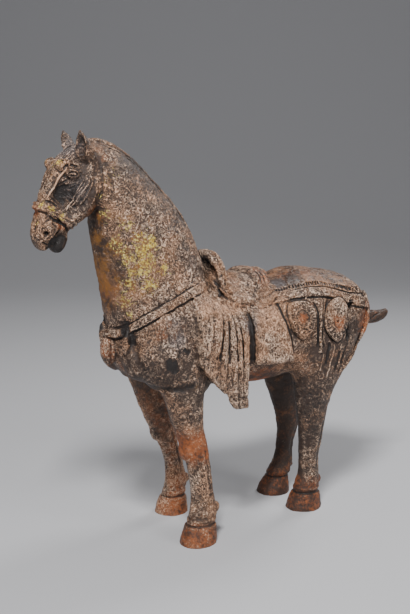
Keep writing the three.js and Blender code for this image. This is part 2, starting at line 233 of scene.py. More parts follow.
# A rounded roll along a route of x, y, z and size, lying against the core that it
# turns round; along and across are its half sizes.
def rolled(name, route, along, across, core, count=72, around=24, full=2.3):
    line = runThrough(route, count)
    wide, rise = ringShares(around, full)
    rings = []
    for i, (x, y, z, size) in enumerate(line):
        place = at(x, y, z)
        ahead, behind = line[min(i + 1, count - 1)], line[max(i - 1, 0)]
        tangent = (at(*ahead[:3]) - at(*behind[:3])).normalized()
        outward = place - core(place)
        outward = (outward - tangent * outward.dot(tangent)).normalized()
        side = tangent.cross(outward)
        rings.append([place + side * (along * size * w) + outward * (across * size * r)
                      for w, r in zip(wide, rise)])
    return drawnOut(name, rings)


# The naked horse
trunk = [
    (-345, 545, -340, 470, 16), (-337, 590, -330, 448, 50), (-312, 625, -306, 425, 84),
    (-270, 650, -270, 400, 118), (-220, 660, -220, 386, 133), (-150, 655, -150, 378, 138, 0.02),
    (-60, 622, -60, 370, 140, 0.05), (30, 608, 30, 364, 143, 0.06), (110, 632, 110, 368, 142, 0.04),
    (185, 652, 185, 380, 140), (250, 645, 250, 386, 137), (310, 634, 312, 392, 127),
    (360, 616, 356, 405, 103), (396, 588, 388, 432, 72), (414, 554, 408, 465, 43),
    (422, 526, 418, 490, 15),
]
neck = [
    (-70, 520, -325, 490, 122), (-84, 610, -345, 560, 122), (-104, 702, -360, 640, 106, 0.1),
    (-148, 790, -375, 722, 93, 0.15), (-216, 869, -385, 786, 78, 0.15),
    (-290, 939, -387, 836, 63, 0.12), (-342, 970, -385, 872, 50, 0.1), (-380, 977, -390, 890, 37),
    (-410, 962, -405, 905, 24),
]
head = [  # front x, z, back x, z, and the half widths of ridge, cheek and jaw
    (-385, 974, -362, 925, 30, 35, 34), (-422, 966, -366, 880, 35, 43, 47),
    (-455, 945, -374, 846, 35, 46, 53), (-484, 913, -390, 815, 35, 42, 50),
    (-500, 876, -412, 798, 27, 28, 43), (-512, 842, -436, 786, 25, 25, 35),
    (-519, 812, -456, 776, 24, 25, 29), (-527, 786, -470, 768, 26, 28, 28),
    (-527, 764, -484, 760, 26, 28, 24), (-521, 746, -490, 744, 22, 23, 19),
    (-512, 734, -500, 734, 12, 12, 10),
]
chin = [
    (-430, 806, -404, 812, 19), (-454, 792, -428, 792, 22), (-474, 776, -446, 774, 22),
    (-486, 757, -448, 755, 22), (-490, 741, -456, 738, 21), (-482, 729, -466, 728, 12),
]
tail = [
    (385, 514, 385, 464, 28), (404, 519, 404, 461, 29), (416, 516, 414, 465, 25),
    (430, 511, 428, 472, 20), (450, 511, 446, 471, 20), (480, 507, 476, 469, 19),
    (506, 506, 506, 474, 16), (525, 508, 529, 487, 9), (531, 507, 533, 498, 3),
]
legs = {  # height, front, back, half width, y; the last two lie below the ground
    "leftFore": [
        (510, -280, -112, 50, -84), (430, -262, -124, 52, -86), (360, -240, -140, 42, -88),
        (285, -216, -140, 34, -91), (245, -201, -131, 31, -94), (215, -191, -128, 28, -96),
        (156, -181, -120, 24, -99), (105, -177, -115, 25, -103), (76, -184, -110, 29, -106),
        (56, -189, -117, 30, -107), (44, -197, -115, 35, -109), (22, -206, -116, 40, -110),
        (0, -212, -118, 44, -111), (-40, -224, -120, 50, -112),
    ],
    "rightFore": [
        (510, -280, -112, 50, 82), (430, -266, -128, 50, 81), (360, -244, -146, 42, 80),
        (290, -216, -142, 34, 83), (232, -187, -122, 29, 87), (178, -157, -106, 26, 90),
        (121, -143, -91, 24, 93), (88, -142, -83, 28, 95), (58, -148, -88, 29, 96),
        (40, -158, -84, 35, 97), (20, -165, -82, 39, 98), (0, -169, -80, 43, 98),
        (-40, -180, -78, 50, 98),
    ],
    "leftHind": [
        (580, 150, 300, 46, -76), (500, 118, 350, 62, -80), (430, 124, 330, 62, -82),
        (360, 146, 284, 48, -84), (300, 153, 254, 36, -83), (250, 164, 246, 31, -80),
        (210, 169, 242, 28, -77), (150, 174, 234, 24, -73), (100, 178, 236, 26, -69),
        (74, 170, 240, 30, -67), (52, 168, 236, 31, -65), (40, 160, 242, 38, -64),
        (20, 154, 246, 42, -62), (0, 148, 250, 46, -61), (-40, 138, 256, 52, -58),
    ],
    "rightHind": [
        (580, 150, 300, 46, 76), (500, 124, 350, 60, 78), (430, 134, 334, 60, 78),
        (360, 152, 300, 47, 77), (300, 174, 284, 37, 76), (240, 196, 277, 31, 75),
        (190, 208, 273, 28, 75), (137, 207, 257, 24, 75), (92, 198, 253, 27, 75),
        (64, 182, 246, 30, 75), (44, 172, 240, 33, 75), (20, 154, 240, 41, 75),
        (0, 146, 240, 45, 75), (-40, 134, 234, 52, 75),
    ],
}
swellings = {  # x, y, z, half sizes, tip; the same on both sides
    "shoulder": (-222, 78, 470, 96, 60, 88, 0.3),
    "shoulderPoint": (-292, 58, 470, 42, 40, 54, 0.2),
    "elbow": (-150, 92, 420, 36, 34, 46, 0.0),
    "elbowPoint": (-190, 98, 436, 32, 36, 34, 0.0),
    "stifle": (160, 92, 430, 52, 40, 62, -0.3),
    "haunch": (292, 72, 524, 92, 56, 98, 0.2),
    "jaw": (-408, 34, 868, 42, 17, 50, 0.5),
    "brow": (-466, 31, 925, 18, 11, 15, 0.6),
    "eye": (-447, 43, 906, 15, 10, 8, 0.2),
    "nostril": (-502, 22, 781, 18, 14, 21, 0.25),
    "mouthCorner": (-470, 21, 788, 12, 12, 13, 0.0),
}
legSwellings = [  # knees, hocks and the tufts behind the fetlocks
    (-190, -94, 233, 15, 27, 25), (-110, -106, 79, 9, 13, 14), (-176, 86, 230, 14, 25, 24),
    (-80, 96, 86, 9, 13, 13), (250, -83, 306, 12, 15, 26), (240, -67, 76, 9, 13, 13),
    (283, 76, 320, 11, 14, 24), (250, 75, 72, 9, 12, 12), (-513, 0, 833, 9, 17, 12),
]


def nakedHorse():
    pieces = [
        swept("trunk", trunk, 56, 60, 2.15),
        swept("neck", neck, 48, 48),
        sweptHead("head", head),
        swept("chin", chin, 28, 30, 2.3),
        swept("tail", tail, 24, 32),
    ]
    for name, stations in legs.items():
        across = [(front, z, back, z, width, 0, y) for z, front, back, width, y in stations]
        pieces.append(swept(name, across, 32, 72))
    for x, y, z, rx, ry, rz, tip in swellings.values():
        pieces += [swelling(x, side * y, z, rx, ry, rz, tip) for side in (-1, 1)]
    pieces += [swelling(*egg) for egg in legSwellings]
    whole = joined("nakedHorse", pieces)
    applyModifier(whole, "REMESH", mode="VOXEL", voxel_size=bodyGrain)
    places = placesOf(whole)
    edges = edgesOf(whole)
    # The small forms of head, feet and tail keep more of their edge.
    softer = settled(places, edges, 18)
    crisp = settled(places, edges, 3)
    x, z = places[:, 0] / part, places[:, 2] / part
    keep = easeIn(-330, -400, x) + easeIn(390, 410, x) + easeIn(150, 90, z) * 0.8
    keep = np.clip(keep, 0, 1)[:, None]
    putPlaces(whole, softer * (1 - keep) + crisp * keep)
    return whole


print("naked horse")
naked = nakedHorse()
nakedTree = treeOf(naked)
standOff = 40 * mm
headStandOff = 14 * mm  # less, so that a line to the jaw does not start inside the neck


# Where a line from outside first meets the naked horse.
def touch(place, outward, away=standOff):
    hit = nakedTree.ray_cast(place + outward * away, -outward, 4 * away)[0]
    return hit if hit else place.copy()


def trunkCore(place):
    x = min(max(place.x, -190 * part), 290 * part)
    z = min(max(place.z, 470 * part), 555 * part)
    return Vector((x, 0, z))


def withersCore(place):
    return Vector((place.x, 0, 600 * part))


headTop, headFoot = at(-410, 0, 910), at(-500, 0, 760)


def headCore(place):
    run = headFoot - headTop
    share = (place - headTop).dot(run) / run.length_squared
    return headTop + run * min(max(share, 0), 1)


# A relief is a grid of places dropped onto the body and raised off it, with its
# underside sunk in the body. Each row holds place and rise pairs.
def relief(name, rows, core=trunkCore, sunk=3 * mm):
    rings = []
    for row in rows:
        top, under = [], []
        for place, rise in row:
            outward = (place - core(place)).normalized()
            foot = touch(place, outward, headStandOff if core is headCore else standOff)
            top.append(foot + outward * rise)
            under.append(foot - outward * sunk)
        rings.append(top + under[::-1])
    return drawnOut(name, rings)


# A strap along a route of places, with a profile of [across, rise] shares.
def strap(name, route, width, thickness, profile, steps=120, core=trunkCore, taper=1.0):
    line = [Vector(p) * part for p in runThrough(route, steps)]
    rows = []
    for i, place in enumerate(line):
        tangent = line[min(i + 1, steps - 1)] - line[max(i - 1, 0)]
        outward = (place - core(place)).normalized()
        across = tangent.cross(outward).normalized()
        half = width / 2 * (1 + (taper - 1) * i / (steps - 1))
        rows.append([(place + across * half * u, thickness * rise) for u, rise in profile])
    return relief(name, rows, core)


def bothHalves(half):
    left = [(x, -y, z) for x, y, z in half]
    right = list(half[:-1])
    return left + right[::-1]


def sided(route, side):
    return [(x, side * y, z) for x, y, z in route]


bandProfile = [
    (-1, 0.1), (-0.95, 0.7), (-0.8, 1.0), (-0.62, 0.95), (-0.5, 0.76), (-0.2, 0.84), (0.2, 0.84),
    (0.5, 0.76), (0.62, 0.95), (0.8, 1.0), (0.95, 0.7), (1, 0.1),
]
roundTurns = np.linspace(-math.pi / 2, math.pi / 2, 9)
roundProfile = [(math.sin(a), 0.1 + 0.9 * math.cos(a)) for a in roundTurns]
twinProfile = [
    (-1, 0.1), (-0.8, 0.9), (-0.55, 1.0), (-0.25, 0.5), (0, 0.35), (0.25, 0.5), (0.55, 1.0), (0.8, 0.9),
    (1, 0.1),
]

harness = {
    "breastWidth": 11.5 * mm,
    "breastThickness": 3.6 * mm,
    "crupperWidth": 14 * mm,
    "crupperThickness": 3.6 * mm,
    "hangerWidth": 4.6 * mm,
    "hangerThickness": 3.0 * mm,
    "gussetWidth": 13 * mm,
    "stripWidth": 11 * mm,
    "stripThickness": 4.4 * mm,
    "nosebandWidth": 9 * mm,
    "nosebandThickness": 3.2 * mm,
    "cheekWidth": 6 * mm,
    "cheekThickness": 1.2 * mm,
}
breastRoute = [
    (-116, 80, 640), (-145, 94, 630), (-187, 112, 622), (-230, 118, 606), (-268, 110, 586),
    (-301, 90, 564), (-322, 67, 546), (-338, 38, 532), (-346, 0, 527),
]
crupperRoute = [
    (60, 94, 588), (110, 101, 595), (145, 109, 599), (180, 114, 600), (220, 117, 596), (250, 119, 588),
    (284, 120, 576), (330, 98, 560), (372, 66, 546), (398, 34, 538), (410, 0, 532),
]
nosebandRoute = [
    (-445, 4, 791), (-450, 24, 796), (-466, 34, 806), (-492, 37, 824), (-514, 22, 834), (-520, 0, 836),
]
cheekRoute = [(-398, 50, 930), (-410, 52, 896), (-428, 50, 866), (-450, 43, 834), (-466, 36, 812)]
hangerRoute = [(184, 132, 572), (183, 134, 540), (182, 134, 500), (186, 134, 446)]
gussetRoute = [(186, 130, 594), (185, 132, 570), (183, 134, 540)]
buttockRoute = [
    (352, 84, 582), (356, 82, 545), (356, 82, 505), (342, 90, 465), (316, 106, 432), (268, 124, 396),
]


def makeStraps():
    pieces = [
        strap("breastStrap", bothHalves(breastRoute), harness["breastWidth"],
              harness["breastThickness"], bandProfile, 180),
        strap("crupperStrap", bothHalves(crupperRoute), harness["crupperWidth"],
              harness["crupperThickness"], bandProfile, 220),
        strap("noseband", bothHalves(nosebandRoute), harness["nosebandWidth"],
              harness["nosebandThickness"], twinProfile, 90, headCore),
    ]
    for side in (-1, 1):
        pieces.append(strap("cheekStrap", sided(cheekRoute, side), harness["cheekWidth"],
                            harness["cheekThickness"], twinProfile, 50, headCore))
        pieces.append(strap("hanger", sided(hangerRoute, side), harness["hangerWidth"],
                            harness["hangerThickness"], roundProfile, 60))
        pieces.append(strap("gusset", sided(gussetRoute, side), harness["gussetWidth"],
                            harness["hangerThickness"], roundProfile, 40, taper=0.3))
        pieces.append(strap("buttockStrap", sided(buttockRoute, side), harness["stripWidth"],
                            harness["stripThickness"], roundProfile, 70, taper=0.6))
    return pieces


# A flap that follows the barrel down to its widest line and then hangs straight.
def flap(name, side, columns, rows, corner, thickness, stand, swell, widest=500):
    rings = []
    for i in range(rows + 1):
        v = i / rows
        outer, inner = [], []
        for j in range(columns + 1):
            u = j / columns
            x, z = corner(u, v)
            foot = touch(at(x, side * flank, max(z, widest)), Vector((0, side, 0)))
            rim = min(1, min(u, 1 - u) * columns / 5, (1 - v) * rows / 5)
            away = stand * v * (0.35 + 0.65 * float(easeIn(0, 0.3, u)))
            edge = 0.35 + 0.65 * math.sqrt(1 - (1 - rim) ** 2)
            lift = (away + thickness * edge + swell(u, v, z)) * float(easeIn(-0.04, 0.16, v))
            face = abs(foot.y) + lift
            hold = float(easeIn(400, 470, z))
            back = abs(foot.y) + away - hold * (3 * mm + away)
            outer.append((x * part, side * face, z * part))
            inner.append((x * part, side * back, z * part))
        rings.append(outer + inner[::-1])
    return drawnOut(name, rings)


# The saddle cloth: a broad fold in front, a rounded ridge, narrow pleats and a
# flat band behind, gathered to a blunt tail below.
cloth = {
    "thickness": 6 * mm,
    "stand": 4 * mm,
    "top": [(-180, 634), (-44, 612)],
    "foot": [(-178, 456), (-146, 412), (-106, 382), (-90, 344), (-78, 335), (-46, 335)],
    "foldRise": 4.4 * mm,
    "foldFoot": (486, 470),
    "crease": 362,
    "pleatHeights": (570, 450),
    "pleats": [  # x at the upper and the lower height, half width, rise
        (-124, -147, 11, 6.4 * mm), (-107, -116, 6.6, 5.2 * mm), (-91, -87, 6.6, 5.4 * mm),
        (-76, -71, 6, 5.2 * mm),
    ],
    "bandStart": (-66, -62),
    "bandRise": 3.0 * mm,
}
clothFoot = runThrough(cloth["foot"], 60)


def clothCorner(u, v):
    i = u * (len(clothFoot) - 1)
    k = min(int(i), len(clothFoot) - 2)
    foot = clothFoot[k] * (1 - i + k) + clothFoot[k + 1] * (i - k)
    top = np.array(cloth["top"][0]) * (1 - u) + np.array(cloth["top"][1]) * u
    x, z = top * (1 - v) + foot * v
    return float(x), float(z)


def pleatPlace(upper, lower, z):
    high, low = cloth["pleatHeights"]
    return upper + (lower - upper) * (high - z) / (high - low)


def clothSwell(u, v, z):
    x = clothCorner(u, v)[0]
    rise = 0
    for upper, lower, half, height in cloth["pleats"]:
        off = (x - pleatPlace(upper, lower, z)) / half
        rise = max(rise, height * math.sqrt(max(0, 1 - off * off)))
    ridge = cloth["pleats"][0]
    edge = pleatPlace(ridge[0], ridge[1], z) - ridge[2]
    fold = cloth["foldRise"] * float(easeIn(edge - 3, edge - 10, x)) * float(easeIn(0.0, 0.03, u))
    rise = max(rise, fold) * (0.25 + 0.75 * float(easeIn(*cloth["foldFoot"][::-1], z) if u < 0.3 else 1))
    start = pleatPlace(*cloth["bandStart"], z)
    rise = max(rise, cloth["bandRise"] * float(easeIn(start - 1, start + 2, x)))
    rise *= 0.35 + 0.65 * float(easeIn(395, 430, z))
    crease = math.exp(-((z - cloth["crease"]) / 5) ** 2) * 2.4 * mm if u > 0.4 else 0
    return rise * float(easeIn(600, 568, z)) - crease


blanket = {
    "thickness": 8 * mm,
    "stand": 6 * mm,
    "top": (-24, 56, 592),
    "foot": (-20, 88, 437),
}


def blanketCorner(u, v):
    left, right, height = [a * (1 - v) + b * v for a, b in zip(blanket["top"], blanket["foot"])]
    return left + (right - left) * u, height


def makeCloths():
    pieces = []
    for side in (-1, 1):
        pieces.append(flap("saddleCloth", side, 130, 110, clothCorner, cloth["thickness"],
                           cloth["stand"], clothSwell))
        pieces.append(swelling(-50, side * 108, 585, 11, 11, 13))
    return pieces


def makeBlankets():
    return [flap("blanketFlap", side, 70, 70, blanketCorner, blanket["thickness"], blanket["stand"],
                 lambda u, v, z: 0.0) for side in (-1, 1)]


# The seat is a thick skin over the back whose skirt is scalloped along the side.
seat = {
    "thickness": 9 * mm,
    "pad": 8 * mm,
    "edgeRoll": 1.4 * mm,
    "lobeThickness": 7 * mm,
    "lobeRoll": 1.2 * mm,
    "pommelBand": (5 * mm, 4.8 * mm),  # along and across, half sizes
    "pommelWall": (4 * mm, 16 * mm),
    "cantleRoll": (14 * mm, 7.0 * mm),
    "cantleSlope": (18 * mm, 8.0 * mm),
    "skirt": [(-88, 640), (-80, 614), (-64, 601), (-44, 594), (-18, 587), (4, 591), (24, 600), (52, 612),
              (82, 640)],
    "lobe": [(-24, 592), (-8, 581), (12, 576), (36, 579), (58, 588), (78, 604)],
    "pommel": [(-80, 0, 700, 1.2), (-80, 28, 697, 1.2), (-78, 44, 687, 1.1), (-77, 58, 668, 1),
               (-75, 72, 645, 0.95), (-70, 85, 622, 0.9), (-54, 98, 602, 0.8), (-38, 106, 594, 0.6)],
    "cantle": [(46, 0, 648, 1), (46, 40, 645, 1), (46, 62, 630, 0.95), (48, 78, 608, 0.85),
               (50, 88, 592, 0.7)],
}


def skin(name, edgePoints, thickness, pad, roll, rows=60, columns=72, reach=122, middle=520):
    line = runThrough(edgePoints, rows)
    grid = []
    for x, z in line:
        limit = math.atan2(reach, z - middle)
        far = reach / math.sin(limit)
        row = []
        for j in range(columns + 1):
            u = 2 * j / columns - 1
            place = at(x, math.sin(u * limit) * far, middle + math.cos(u * limit) * far)
            rim = (1 - abs(u)) * columns / 2
            bead = math.exp(-((rim - 3.5) / 2.2) ** 2) * roll
            top = pad * float(easeIn(0.75, 0.25, abs(u))) * (1 + 0.4 * float(easeIn(-10, 50, x)))
            row.append((place, thickness * min(1, 0.35 + rim * 0.22) + bead + top))
        grid.append(row)
    return relief(name, grid, lambda place: at(place.x / part, 0, middle))


def overBack(half):
    return [(x, -y, z, s) for x, y, z, s in half[::-1]] + list(half[1:])


def makeSaddle():
    wall = [(x + 8, y, z - 16, 1) for x, y, z, s in seat["pommel"][:6]]
    slope = [(x - 28, y, z - 12, s) for x, y, z, s in seat["cantle"]]
    pieces = [
        skin("seat", seat["skirt"], seat["thickness"], seat["pad"], seat["edgeRoll"]),
        skin("seatPad", seat["lobe"], seat["lobeThickness"], 0, seat["lobeRoll"]),
        rolled("pommelBand", overBack(seat["pommel"]), *seat["pommelBand"], withersCore),
        rolled("pommelWall", overBack(wall), *seat["pommelWall"], withersCore),
        rolled("cantle", overBack(seat["cantle"]), *seat["cantleRoll"], withersCore),
        rolled("cantleSlope", overBack(slope), *seat["cantleSlope"], withersCore),
    ]
    return pieces


mane = {"along": 6 * mm, "across": 3.8 * mm, "core": (-330, 0, 700)}


# A low hogged mane along the crest, from the poll to the withers.
def makeMane():
    crest = np.array([s[:4] for s in neck[2:]], float)
    away = crest[:, :2] - crest[:, 2:]
    away /= np.linalg.norm(away, axis=1)[:, None]
    line = crest[:, :2] + away
    route = [(x, 0, z, 1) for x, z in line]
    return rolled("mane", route, mane["along"], mane["across"], lambda place: at(*mane["core"]), 100, 18)


ear = {  # front x, z, back x, z, half width, egg and y
    "outer": [
        (-424, 916, -372, 904, 5, 0, 22), (-430, 938, -384, 928, 16, 0, 31),
        (-436, 958, -393, 954, 16, 0, 40), (-437, 976, -405, 976, 12, 0, 45),
        (-435, 990, -416, 991, 7, 0, 47), (-430, 1002, -427, 1002, 2, 0, 48),
    ],
    "hollow": [
        (-448, 946, -416, 946, 9, 0, 46), (-450, 960, -415, 962, 10, 0, 51),
        (-449, 976, -419, 978, 7, 0, 53), (-441, 991, -427, 991, 2, 0, 53),
    ],
}


def makeEars():
    pieces = []
    for side in (-1, 1):
        outer, inner = [[(*s[:6], side * s[6]) for s in ear[k]] for k in ("outer", "hollow")]
        piece = swept("ear", outer, 24, 30)
        hollow = swept("earHollow", inner, 20, 24)
        applyModifier(piece, "BOOLEAN", operation="DIFFERENCE", object=hollow, solver="EXACT")
        bpy.data.objects.remove(hollow)
        pieces.append(piece)
    return pieces


boss = {  # x, y, z and half sizes; the side pendant also with its tip and turn
    "oval": (-347, 0, 487, 20, 24, 37),
    "knot": (-350, 0, 527, 12, 20, 10),
    "side": (-328, 62, 514, 11, 14, 32, 0.1, 1.0),
}


def makeBoss():
    pieces = [swelling(*boss["oval"]), swelling(*boss["knot"])]
    x, y, *rest, turn = boss["side"]
    for side in (-1, 1):
        pieces.append(swelling(x, side * y, *rest, side * turn))
    return pieces


print("harness")
groups = {
    "straps": makeStraps(),
    "cloth": makeCloths(),
    "blanket": makeBlankets(),
    "saddle": makeSaddle(),
    "others": [makeMane()] + makeEars() + makeBoss(),
}
groupTrees = {name: [treeOf(piece) for piece in pieces] for name, pieces in groups.items()}
groupBoxes = {
    name: (np.min([placesOf(piece).min(0) for piece in pieces], 0),
           np.max([placesOf(piece).max(0) for piece in pieces], 0))
    for name, pieces in groups.items()
}
horse = joined("tomb_horse_figure", [naked] + sum(groups.values(), []))

print("one skin")
applyModifier(horse, "REMESH", mode="VOXEL", voxel_size=grain)
edges = edgesOf(horse)
putPlaces(horse, settled(placesOf(horse), edges, 3))
print("dense faces", len(horse.data.polygons))


# Which places of the skin belong to a group of the harness.
def belongs(places, name, reach=1.6 * mm):
    low, high = groupBoxes[name]
    mine = np.zeros(len(places))
    inside = np.flatnonzero(((places > low - reach) & (places < high + reach)).all(1))
    for i in inside:
        place = Vector(places[i])
        mine[i] = any(tree.find_nearest(place, reach)[0] is not None for tree in groupTrees[name])
    return mine


# Carving: lines pressed into or raised on the skin
class Skin:
    def __init__(self, piece):
        self.piece = piece
        self.places = placesOf(piece)
        self.facing = facingOf(piece)
        self.tree = treeOf(piece)
        self.push = np.zeros(len(self.places))
        self.sootAndShade = np.zeros(len(self.places))
        self.chalkAndHighlight = np.zeros(len(self.places))

    # A stroke follows a route over the skin; a positive rise stands up. A positive soot lays soot and
    # painted shade along it, and soot below nought lays chalky slip with a painted highlight.
    def stroke(self, route, width, rise, sootAndShade=0.0, fade=0.15):
        route = np.array(route, float)
        length = np.linalg.norm(np.diff(route, axis=0), axis=1).sum() * part
        count = max(8, int(length / (0.3 * width)))
        feet, facing = [], []
        for place in runThrough(route, count) * part:
            foot, normal, _, _ = self.tree.find_nearest(Vector(place))
            feet.append(foot)
            facing.append(normal)
        feet, facing = np.array(feet), np.array(facing)
        low, high = feet.min(0) - width, feet.max(0) + width
        near = np.flatnonzero(((self.places > low) & (self.places < high)).all(1))
        if not len(near):
            return
        share = np.linspace(0, 1, count)
        ends = np.minimum(share, 1 - share) / fade if fade else np.ones(count)
        for chunk in np.array_split(near, max(1, len(near) * count // 4000000 + 1)):
            gap = ((self.places[chunk][:, None] - feet[None]) ** 2).sum(2)
            best = gap.argmin(1)
            reach = gap[np.arange(len(chunk)), best] / width**2
            seen = (self.facing[chunk] * facing[best]).sum(1) > 0.0
            weight = np.clip(1 - reach, 0, 1) ** 2 * seen * np.clip(ends[best], 0, 1)
            self.push[chunk] += weight * rise
            self.sootAndShade[chunk] = np.maximum(self.sootAndShade[chunk], weight**1.5 * sootAndShade * 0.5)
            self.chalkAndHighlight[chunk] = np.maximum(self.chalkAndHighlight[chunk], weight**2 * -sootAndShade)

    def both(self, route, width, rise, sootAndShade=0.0, fade=0.15):
        for side in (-1, 1):
            self.stroke([(x, side * abs(y), z) for x, y, z in route], width, rise, sootAndShade, fade)

    def settle(self):
        putPlaces(self.piece, self.places + self.facing * self.push[:, None])
